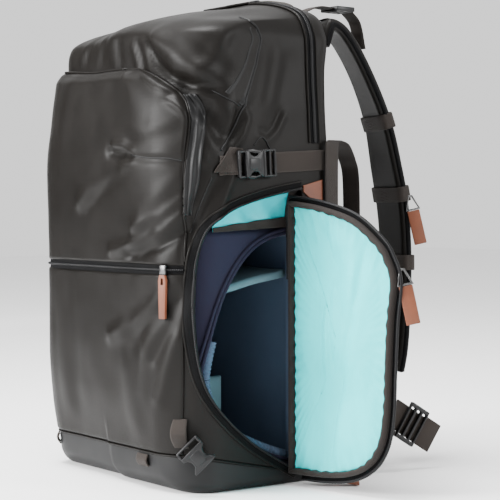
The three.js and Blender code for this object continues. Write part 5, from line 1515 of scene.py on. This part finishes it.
def build_tabs():
    top = OPENING_LOW + OPENING_HEIGHT

    def corner(u, v):
        y = HINGE_Y + 1 + u * 24
        return on_side(y, lerp(lerp(top - 2, top - 20, u), top + 4 + 6 * u, v), 1.7)

    sheet_piece("corner_tab_leather", corner, "leather", ("corner_tab",), grid=(20, 20), wall=1.5, cloth=(24.0, 20.0),
                centre=(0, 0, 280))
    for name, arc in (("middle", 66), ("left", -112)):
        def tab(u, v):
            bulge = 2.5 * np.sin(np.pi * v)
            return on_bag(SEAM_FRONT_HEIGHT - 2 - v * 12, arc + (u - 0.5) * 18, 1.6 + bulge)

        sheet_piece(f"tab_{name}_webbing", tab, "webbing", (f"tab_{name}",), grid=(12, 14), wall=1.4,
                    cloth=(18.0, 14.0))
    arc = float(front_seam_arc(LOOP_TOP)) - 3.25

    def loop(u, v):
        return on_bag(LOOP_TOP - v * 28, arc + (u - 0.5) * 13, 1.8 + 9 * np.sin(np.pi * v))

    sheet_piece("base_loop_webbing", loop, "webbing", ("base_webbing",), grid=(10, 36), wall=1.5, cloth=(13.0, 34.0))
    right = np.array([0.6, 0.8, 0.0])
    down, up = unit(right - (0, 0, 1)), unit(right + (0, 0, 1))
    centre = on_bag(39.0, arc + WEBBING * 0.63, 9.0) - down * 13
    buckle_piece("base_buckle_body", frame_matrix(centre, down, up), ("base_buckle",), with_plug=False)


# Back panel, straps, hip belt and handle
def build_back():
    def pad(name, centre, width, low, height, thickness, node):
        tall = height > 150

        def surface(u, v):
            z = low + v * height
            return stack(centre + (u - 0.5) * width, section_at(z)[2] + 0.2, z)

        def outer(u, v):
            edge = np.minimum(np.minimum(u, 1 - u), np.minimum(v, 1 - v) * height / width) * 2
            grooves = 1.6 * np.exp(-((v * height / 70 + 0.5) % 1 - 0.5)**2 * 900) if tall else 0
            return thickness * (0.45 + 0.55 * ramp(edge * 2.2)) - grooves

        bm = pillow_mesh(surface, facing(0, 1, 0), grid=(46, 70 if tall else 40), cloth=(width, height),
                         faces=(lambda u, v: 0 * u, outer), radius=7.0)
        piece = keep(as_object(name, bm), "mesh", (node,))
        piece.data.polygons.foreach_set("material_index", [0] * len(piece.data.polygons))

    thickness = size_of("pad_thickness")
    for side, label in SIDES:
        pad(f"back_pad_{label}_mesh", side * PAD_SPACING / 2, PAD_WIDTH, PAD_LOW, PAD_HEIGHT, thickness,
            f"back_pad_{label}")
    pad("lumbar_pad_mesh", 0, LUMBAR_WIDTH, LUMBAR_LOW, LUMBAR_HEIGHT, thickness + 2, "lumbar_pad")

    def tape(u, v):
        side = np.where(u < 0.5, 1.0, -1.0)
        share = 1 - np.abs(2 * u - 1)
        y = REAR_ZIP_Y + (v - 0.5) * BACK_TAPE_WIDTH
        z = lerp(REAR_ZIP_LOW, BAG_HEIGHT - 1, np.sin(np.clip(share / ROOF_SHARE, 0, 1) * np.pi / 2))
        p = true_skin(y, z, 1.2 + 0 * u, side)
        over = 1 - np.clip((share - ROOF_SHARE) / (1 - ROOF_SHARE), 0, 1)
        high = np.where(share > ROOF_SHARE, BAG_HEIGHT + 1.2, p[:, 2])
        return stack(p[:, 0] * over, p[:, 1], high)

    def along_tape(v, count):
        return even(tape(np.linspace(0, 1, 1500), np.full(1500, v)), count)

    sheet_piece("rear_zip_tape", tape, "tape", ("rear_zip",), grid=(240, 4), wall=0.9, cloth=(560.0, 10.0))
    line = along_tape(0.5, 900)
    out = unit(line - (0, REAR_ZIP_Y, 300))
    tube_piece("rear_zip_coil", line + out * 0.7, 2.0, "coil", sides=7, ripple=0.16, flat=0.6, up=out)
    welts = [tube_mesh(along_tape(v, 300), 1.2, sides=6) for v in (-0.12, 1.12)]
    keep(as_object("rear_zip_welts", merged(welts)), "shell_cloth")


def harness_path():
    """Points of the shoulder strap's route on the right, from the bag's back down to its foot."""
    start = back_at(SHOULDER_ROUTE[0][1] * BAG_HEIGHT) + 0.6
    last = len(SHOULDER_ROUTE) - 1
    return np.array([(SHOULDER_OFFSET + SHOULDER_SPLAY * i / last, start + share * SHOULDER_REACH, high * BAG_HEIGHT)
                     for i, (share, high) in enumerate(SHOULDER_ROUTE)])


def harness_frame(u):
    """Centre, width direction and the direction towards the wearer, along the shoulder strap."""
    path = harness_path()
    at = curve(path, u)
    tangent = unit(curve(path, np.clip(u + 0.004, 0, 1)) - curve(path, np.clip(u - 0.004, 0, 1)))
    turn = SHOULDER_TURN * ramp(u * 4) * lerp(1, SHOULDER_FLATTEN, ramp((u - 0.35) * 4))
    across = stack(np.cos(turn), -np.sin(turn), 0 * turn)
    return at, across, unit(np.cross(tangent, across))


def build_shoulder():
    def width(u):
        return SHOULDER_WIDTH * (1 - 0.12 * np.abs(2 * u - 1))

    for side, label in SIDES:
        flip = np.array([side, 1, 1])

        def surface(v, u):
            at, across, _ = harness_frame(u)
            return (at + across * ((v - 0.5) * width(u))[:, None]) * flip

        def normal(v, u):
            return harness_frame(u)[2] * flip

        pillow_piece(f"shoulder_{label}_pad", surface, normal, ("shell_cloth", "mesh"), f"shoulder_strap_{label}",
                     grid=(20, 150), cloth=(54.0, 430.0), faces=(0.4, SHOULDER_THICKNESS - 1.0), radius=5.0, ends=0.3)
        u = np.linspace(0.004, 0.996, 260)
        at, across, out = harness_frame(u)
        edges = [tube_mesh((at + across * (v * width(u))[:, None] + out * 6.2) * flip, 2.3) for v in (-0.5, 0.5)]
        keep(as_object(f"shoulder_{label}_binding", merged(edges)), "tape")
        at, across, out = harness_frame(np.linspace(0.16, 0.985, 160))
        parts = [strap_mesh((at - out * 1.6) * flip, across * flip, 22.0, 1.5)]
        for where in (0.46, 0.60, 0.74):
            spot, wide, away = harness_frame(np.full(90, where))
            reach, rise = squared(np.linspace(0, 1, 90) * math.tau, 0.4, 0.5)
            ring = spot + wide * (reach * (width(where) / 2 + 1.6))[:, None] + away * (6.0 + rise * 7.6)[:, None]
            parts.append(strap_mesh(ring * flip, unit(np.cross(wide, away)) * flip, 16.0, 1.2))
        keep(as_object(f"shoulder_{label}_webbing", merged(parts)), "webbing")

    foot = curve(harness_path(), 1.0)
    base = np.array([LUMBAR_WIDTH / 4 - 3, BACK_REACH - 4, SEAM_FRONT_HEIGHT * 0.45])
    hang = (foot + base) / 2 + (0, 2, -8)
    lower = curve([foot + (0, -SHOULDER_THICKNESS / 2, -0.9), hang, base], np.linspace(0, 1, 70))
    top = BAG_HEIGHT - 8
    lock = np.array([SHOULDER_OFFSET, back_at(BAG_HEIGHT / 2) + 40, top])
    roof = np.array([SHOULDER_OFFSET, lock[1] - 52, top - 6])
    half = 12.3
    lead = curve([roof, (SHOULDER_OFFSET, lerp(roof[1], lock[1], 0.4), top + 2),
                  (SHOULDER_OFFSET, lock[1] - half, top + 2)], np.linspace(0, 1, 50))
    at, _, out = harness_frame(np.array([0.33]))
    seat = at[0] - out[0] * 4.6
    bend = (SHOULDER_OFFSET, lerp(lock[1] + half, seat[1], 0.75), lerp(lock[2], seat[2], 0.3))
    tail = curve([(SHOULDER_OFFSET, lock[1] + half, lock[2]), bend, seat], np.linspace(0, 1, 60))
    for side, label in SIDES:
        flip = np.array([side, 1, 1])
        across = np.array([side, 0, 0])
        strap_piece(f"lower_{label}_webbing", lower * flip, across, 20.0, 1.5, nodes=(f"lower_strap_{label}",))
        strap_piece(f"lifter_lead_{label}_webbing", lead * flip, -across, 18.0, 1.5, nodes=(f"lifter_lead_{label}",))
        strap_piece(f"lifter_tail_{label}_webbing", tail * flip, -across, 18.0, 1.5, nodes=(f"lifter_tail_{label}",))
        refined(f"lifter_lock_{label}", "plastic", 0.9)


def build_hip():
    z = LUMBAR_LOW + LUMBAR_HEIGHT / 2
    start = back_at(z) + size_of("pad_thickness") + HIP_THICKNESS + 0.3
    path = np.array([(LUMBAR_WIDTH * a, start + HIP_REACH * b, z - HIP_REACH * d) for a, b, d in HIP_ROUTE])

    def at(u):
        tangent = unit(curve(path, np.clip(u + 0.01, 0, 1)) - curve(path, np.clip(u - 0.01, 0, 1)))
        return curve(path, u), unit(np.cross(tangent, np.broadcast_to([0.0, 0.0, 1.0], tangent.shape)))

    def height(u):
        return lerp(HIP_HEIGHT, HIP_TIP, ramp(u)) * (0.62 + 0.38 * roll(1 - u, 0.16))

    for side, label in SIDES:
        flip = np.array([side, 1, 1])

        def surface(u, v):
            return (at(u)[0] + stack(0 * u, 0 * u, (v - 0.5) * height(u))) * flip

        def normal(u, v):
            return at(u)[1] * flip

        pillow_piece(f"hip_{label}_pad", surface, normal, ("mesh", "shell_cloth"), f"hip_wing_{label}",
                     grid=(60, 44), cloth=(100.0, 80.0), faces=(0.4, HIP_THICKNESS - 0.6), radius=5.5)
        u = np.linspace(0.02, 0.995, 60)
        spot, out = at(u)
        edge = [spot + out * 6 + stack(0 * u, 0 * u, s * 0.5 * height(u)) for s in (1, -1)]
        line = even(np.vstack([edge[0], edge[1][::-1]]), 200)
        tube_piece(f"hip_{label}_binding", line * flip, 2.2, "binding")
        refined(f"hip_lock_{label}", "plastic", 0.9)
        tip, tip_out = at(np.array([0.96, 1.0]))
        along = unit(unit(tip[1] - tip[0]) + (0, 0, -0.25))
        upward = unit(np.array([0, 0, 1.0]) - along[2] * along)
        away = np.cross(along, upward)
        through = [tip[0] + tip_out[0] * 5, tip[1] + along * 8 + away * 3.2, tip[1] + along * 25 + away * 2.4,
                   tip[1] + along * 38 + away * 4.4]
        strap_piece(f"hip_threaded_{label}", curve(through, np.linspace(0, 1, 40)) * flip, upward * flip, 29.0, 1.4)
        refined(f"hip_webbing_{label}", "webbing", 0.4)


def build_loops():
    near = np.array([BAG_WIDTH / 2 + 0.8, BACK_REACH - 14, 0])
    far = np.array([BAG_WIDTH / 2 - BACK_CORNER, BACK_REACH + 42 - 4, 0])
    high = STRAP_HEIGHT + 24
    low = high - 250
    rows = [(0, low), (0, (high + low) / 2), (0, high - 16), (0.08, high), (0.42, high - 2), (0.78, high - 16),
            (0.98, high - 44), (1, lerp(high, low, 0.6)), (1, low)]
    path = np.array([near + (far - near) * s + (0, 0, h) for s, h in rows])
    u = np.linspace(0, 1, 200)
    across = unit(lerp(np.array([-0.2, 1, 0]), np.array([1, 0.35, 0]), ramp((u - 0.36) * 4)[:, None]))
    line = curve(path, u)
    skin = np.where((line[:, 1] < BACK_REACH - 4) & (line[:, 0] > 130), 1.2, 0.0)
    strap_piece("side_loop_webbing", line + stack(skin, 0 * skin, 0 * skin), -across, 20.0, 1.6, nodes=("side_loop",))

    z = BAG_HEIGHT * 0.945
    y = back_at(z) + 6
    half, rise, foot = 52, 18, z - 26
    rows = [(-half, 3, foot), (-half, 3, z), (-half * 0.8, 4, z + rise * 1.35), (0, 5, z + rise * 1.75),
            (half * 0.8, 4, z + rise * 1.35), (half, 3, z), (half, 3, foot)]
    line = curve([(a, y + b, c) for a, b, c in rows], np.linspace(0, 1, 120))
    strap_piece("haul_handle_webbing", line, (0, 1, 0), 18.0, 4.6, nodes=("haul_handle",))


def build_pulls():
    for name in ("strap", "door", "foot"):
        refined(f"{name}_ring", "metal", 0.5)
        refined(f"{name}_pull", "leather", 0.7)
    refined("pocket_slider", "metal", 0.6)
    refined("pocket_pull", "leather", 0.8)


# Stage, in metres
FLOOR_HALF = 6.0
FLOOR_HEIGHT = -0.0006
CARD_AWAY = Vector((-0.883, -0.469, 0))
CARD_DISTANCE = 1.3
CARD_HEIGHT = 0.6
CARD_HALF = 0.75
WORLD_STRENGTH = 1.25
LAMP_AIM = Vector((0, 0, 0.24))

# Name, place, size and power of each lamp
LAMPS = (
    ("key", (-0.55, -2.0, 0.85), 1.0, 140), ("top", (-0.1, -0.5, 2.2), 0.9, 120), ("fill", (1.9, 1.1, 1.0), 0.5, 30),
)
CAMERA_PLACE = (1.3195, -0.9087, 0.272)
CAMERA_VIEW = (-0.799, 0.602, 0)
CAMERA_LENS = 111.6
CAMERA_SENSOR = 36
CAMERA_SHIFT = -0.09


def stage_sheet(name, half, matrix, finish, grey, roughness):
    """A flat square of the stage in a plain grey."""
    bm = bmesh.new()
    bmesh.ops.create_grid(bm, x_segments=1, y_segments=1, size=half, matrix=matrix)
    piece = as_object(name, bm, smooth=False)
    material = bpy.data.materials.new(finish)
    material.use_nodes = True
    shader = material.node_tree.nodes["Principled BSDF"]
    shader.inputs["Base Color"].default_value = (grey, grey, grey, 1)
    shader.inputs["Roughness"].default_value = roughness
    piece.data.materials.append(material)
    return piece


def aimed(name, data, place, view):
    """A lamp or a camera at a place, looking along a direction."""
    holder = bpy.data.objects.new(name, data)
    holder.location = place
    holder.rotation_euler = Vector(view).to_track_quat("-Z", "Y").to_euler()
    bpy.context.scene.collection.objects.link(holder)
    return holder


def build_stage():
    floor = stage_sheet("floor", FLOOR_HALF, Matrix.Translation((0, 0, FLOOR_HEIGHT)), "stage_paper", 0.92, 0.9)
    turn = CARD_AWAY.to_track_quat("Z", "Y").to_matrix().to_4x4()
    place = Matrix.Translation(CARD_AWAY * CARD_DISTANCE + Vector((0, 0, CARD_HEIGHT)))
    card = stage_sheet("shade_card", CARD_HALF, place @ turn, "stage_card", 0.01, 1.0)
    card.visible_camera = False
    scene = bpy.context.scene
    scene.world = bpy.data.worlds.new("studio")
    scene.world.use_nodes = True
    background = scene.world.node_tree.nodes["Background"]
    background.inputs["Color"].default_value = (1, 1, 1, 1)
    background.inputs["Strength"].default_value = WORLD_STRENGTH
    for name, place, size, power in LAMPS:
        lamp = bpy.data.lights.new(name, "AREA")
        lamp.shape = "SQUARE"
        lamp.size = size
        lamp.energy = power
        aimed(name, lamp, place, LAMP_AIM - Vector(place))
    camera = bpy.data.cameras.new("camera")
    camera.sensor_width = CAMERA_SENSOR
    camera.lens = CAMERA_LENS
    camera.shift_y = CAMERA_SHIFT
    scene.camera = aimed("camera", camera, CAMERA_PLACE, CAMERA_VIEW)


# Sidebar
def colour(label, default, text):
    """A colour property."""
    return bpy.props.FloatVectorProperty(name=label, description=text, subtype="COLOR", size=3, min=0.0, max=1.0,
                                         default=default)


class BagColours(bpy.types.PropertyGroup):
    """Colours of the bag's cloths and fittings."""

    shell_cloth: colour("Shell cloth", (0.0058, 0.0051, 0.0045), "Satin coated cloth of the body and pocket")
    base_cloth: colour("Base cloth", (0.0045, 0.0045, 0.0047), "Heavier cloth of the base and linings of the body")
    lining: colour("Lining", (0.006, 0.60, 0.62), "Woven lining of the door")
    # The curtain's colour is the door lining's cloth darkened: painted shade under the top of the opening.
    curtain_cloth: colour("Curtain", (0.006, 0.36, 0.40), "Curtain at the top of the opening")
    binding: colour("Binding", (0.018, 0.0145, 0.013), "Binding of the door and the curtain")
    tape: colour("Zip tape", (0.0025, 0.0025, 0.0028), "Zip tapes and edge tapes")
    coil: colour("Zip coil", (0.005, 0.005, 0.0055), "Zip coils")
    webbing: colour("Webbing", (0.020, 0.0155, 0.0130), "Woven webbing")
    insert_cloth: colour("Insert cloth", (0.015, 0.0145, 0.030), "Padding of the insert's outside")
    # The insert lining is the divider cloth darkened: painted shade inside the insert.
    insert_lining: colour("Insert lining", (0.06, 0.09, 0.14), "Padding of the insert's inside")
    divider_cloth: colour("Divider cloth", (0.11, 0.20, 0.235), "Brushed cloth of the dividers")
    mesh: colour("Spacer mesh", (0.0025, 0.0025, 0.0028), "Mesh of the pads")
    plastic: colour("Plastic", (0.005, 0.005, 0.0055), "Moulded buckles and locks")
    leather: colour("Leather", (0.115, 0.031, 0.011), "Leather pulls and tabs")
    metal: colour("Metal", (0.10, 0.10, 0.10), "Wire rings and slider")
    thread: colour("Thread", (0.006, 0.006, 0.006), "Stitches on webbing")


def size(label, default, text):
    """A length property with its default in millimetres."""
    return bpy.props.FloatProperty(name=label, description=text, default=default * MM, min=0.0, unit="LENGTH")


class BagSizes(bpy.types.PropertyGroup):
    """Sizes of the cloth's details."""

    pocket_puff: size("Pocket bulge", POCKET_PUFF, "How far the pocket's upper part bulges")
    pocket_lower_puff: size("Lower bulge", POCKET_LOWER_PUFF, "How far the pocket's lower part bulges")
    gusset_width: size("Gusset width", GUSSET_WIDTH, "Width of the pleated gusset beside the pocket")
    zip_width: size("Pocket zip width", ZIP_WIDTH, "Width of the pocket's zip from tape to tape")
    tape_width: size("Opening tape width", TAPE_WIDTH, "Width of the tape round the side opening")
    pad_thickness: size("Back pad thickness", PAD_THICKNESS, "Thickness of the two back pads")
    divider: size("Divider thickness", DIVIDER, "Thickness of the padded dividers")
    slack: bpy.props.FloatProperty(name="Slack", description="How much the cloth ripples between its folds",
                                   default=1.0, min=0.0, max=2.0, subtype="FACTOR")


class BAG_OT_body(bpy.types.Operator):
    """Builds the body's cloth, the base and the seam between them"""

    bl_idname = "bag.body"
    bl_label = "Body and base"

    def execute(self, context):
        build_body()
        return {"FINISHED"}


class BAG_OT_seams(bpy.types.Operator):
    """Builds the sewn lines on the hood and the strip beside it"""

    bl_idname = "bag.seams"
    bl_label = "Seams of the hood"

    def execute(self, context):
        build_seams()
        return {"FINISHED"}


class BAG_OT_pocket(bpy.types.Operator):
    """Builds the pocket's two cloths, its zip, gussets and piping"""

    bl_idname = "bag.pocket"
    bl_label = "Front pocket"

    def execute(self, context):
        build_pocket()
        return {"FINISHED"}


class BAG_OT_opening(bpy.types.Operator):
    """Builds the tape, coil and welt round the side opening"""

    bl_idname = "bag.opening"
    bl_label = "Opening and its zip"

    def execute(self, context):
        build_opening()
        return {"FINISHED"}


class BAG_OT_insert(bpy.types.Operator):
    """Builds the padded insert, its piping and lip, and the dividers"""

    bl_idname = "bag.insert"
    bl_label = "Insert and dividers"

    def execute(self, context):
        build_insert()
        return {"FINISHED"}


class BAG_OT_curtain(bpy.types.Operator):
    """Builds the curtain at the top of the opening and its binding"""

    bl_idname = "bag.curtain"
    bl_label = "Curtain"

    def execute(self, context):
        build_curtain()
        return {"FINISHED"}


class BAG_OT_door(bpy.types.Operator):
    """Builds the door's board, binding, lining and zip"""

    bl_idname = "bag.door"
    bl_label = "Door"

    def execute(self, context):
        build_door()
        return {"FINISHED"}


class BAG_OT_compression(bpy.types.Operator):
    """Builds the side straps, their patches and the buckles"""

    bl_idname = "bag.compression"
    bl_label = "Side straps and buckles"

    def execute(self, context):
        build_compression()
        return {"FINISHED"}


class BAG_OT_tabs(bpy.types.Operator):
    """Builds the leather corner, the small tabs and the base buckle"""

    bl_idname = "bag.tabs"
    bl_label = "Tabs and base buckle"

    def execute(self, context):
        build_tabs()
        return {"FINISHED"}


class BAG_OT_back(bpy.types.Operator):
    """Builds the back pads and the rear zip with its welts"""

    bl_idname = "bag.back"
    bl_label = "Back panel and rear zip"

    def execute(self, context):
        build_back()
        return {"FINISHED"}


class BAG_OT_shoulder(bpy.types.Operator):
    """Builds the shoulder straps, their lower straps and lifters"""

    bl_idname = "bag.shoulder"
    bl_label = "Shoulder straps"

    def execute(self, context):
        build_shoulder()
        return {"FINISHED"}


class BAG_OT_hip(bpy.types.Operator):
    """Builds the padded hip wings, their bindings and locks"""

    bl_idname = "bag.hip"
    bl_label = "Hip belt"

    def execute(self, context):
        build_hip()
        return {"FINISHED"}


class BAG_OT_loops(bpy.types.Operator):
    """Builds the tall side loop and the haul handle"""

    bl_idname = "bag.loops"
    bl_label = "Side loop and handle"

    def execute(self, context):
        build_loops()
        return {"FINISHED"}


class BAG_OT_pulls(bpy.types.Operator):
    """Builds the leather pulls, the wire rings and the slider"""

    bl_idname = "bag.pulls"
    bl_label = "Pulls and rings"

    def execute(self, context):
        build_pulls()
        return {"FINISHED"}


class BAG_OT_stage(bpy.types.Operator):
    """Builds the floor, the shade card, the lights and the camera"""

    bl_idname = "bag.stage"
    bl_label = "Stage, lights and camera"

    def execute(self, context):
        build_stage()
        return {"FINISHED"}


OPERATORS = (
    BAG_OT_body, BAG_OT_seams, BAG_OT_pocket, BAG_OT_opening, BAG_OT_insert, BAG_OT_curtain, BAG_OT_door,
    BAG_OT_compression, BAG_OT_tabs, BAG_OT_back, BAG_OT_shoulder, BAG_OT_hip, BAG_OT_loops, BAG_OT_pulls,
    BAG_OT_stage,
)


class BAG_PT_panel(bpy.types.Panel):
    """Lists the sizes, the colours and the building steps."""

    bl_label = "Backpack"
    bl_idname = "BAG_PT_panel"
    bl_space_type = "VIEW_3D"
    bl_region_type = "UI"
    bl_category = "Backpack"

    def draw(self, context):
        for key in BagSizes.__annotations__:
            self.layout.prop(context.scene.bag_sizes, key)
        for key in BagColours.__annotations__:
            self.layout.prop(context.scene.bag_colours, key)
        for operator in OPERATORS:
            self.layout.operator(operator.bl_idname)


CLASSES = (BagSizes, BagColours, *OPERATORS, BAG_PT_panel)


def register():
    for made in CLASSES:
        bpy.utils.register_class(made)
    bpy.types.Scene.bag_sizes = bpy.props.PointerProperty(type=BagSizes)
    bpy.types.Scene.bag_colours = bpy.props.PointerProperty(type=BagColours)


def unregister():
    del bpy.types.Scene.bag_colours
    del bpy.types.Scene.bag_sizes
    for made in reversed(CLASSES):
        bpy.utils.unregister_class(made)


def main():
    """Registers the add-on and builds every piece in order."""
    register()
    bpy.ops.bag.body()
    bpy.ops.bag.seams()
    bpy.ops.bag.pocket()
    bpy.ops.bag.opening()
    bpy.ops.bag.insert()
    bpy.ops.bag.curtain()
    bpy.ops.bag.door()
    bpy.ops.bag.compression()
    bpy.ops.bag.tabs()
    bpy.ops.bag.back()
    bpy.ops.bag.shoulder()
    bpy.ops.bag.hip()
    bpy.ops.bag.loops()
    bpy.ops.bag.pulls()
    bpy.ops.bag.stage()


if __name__ == "__main__":
    main()
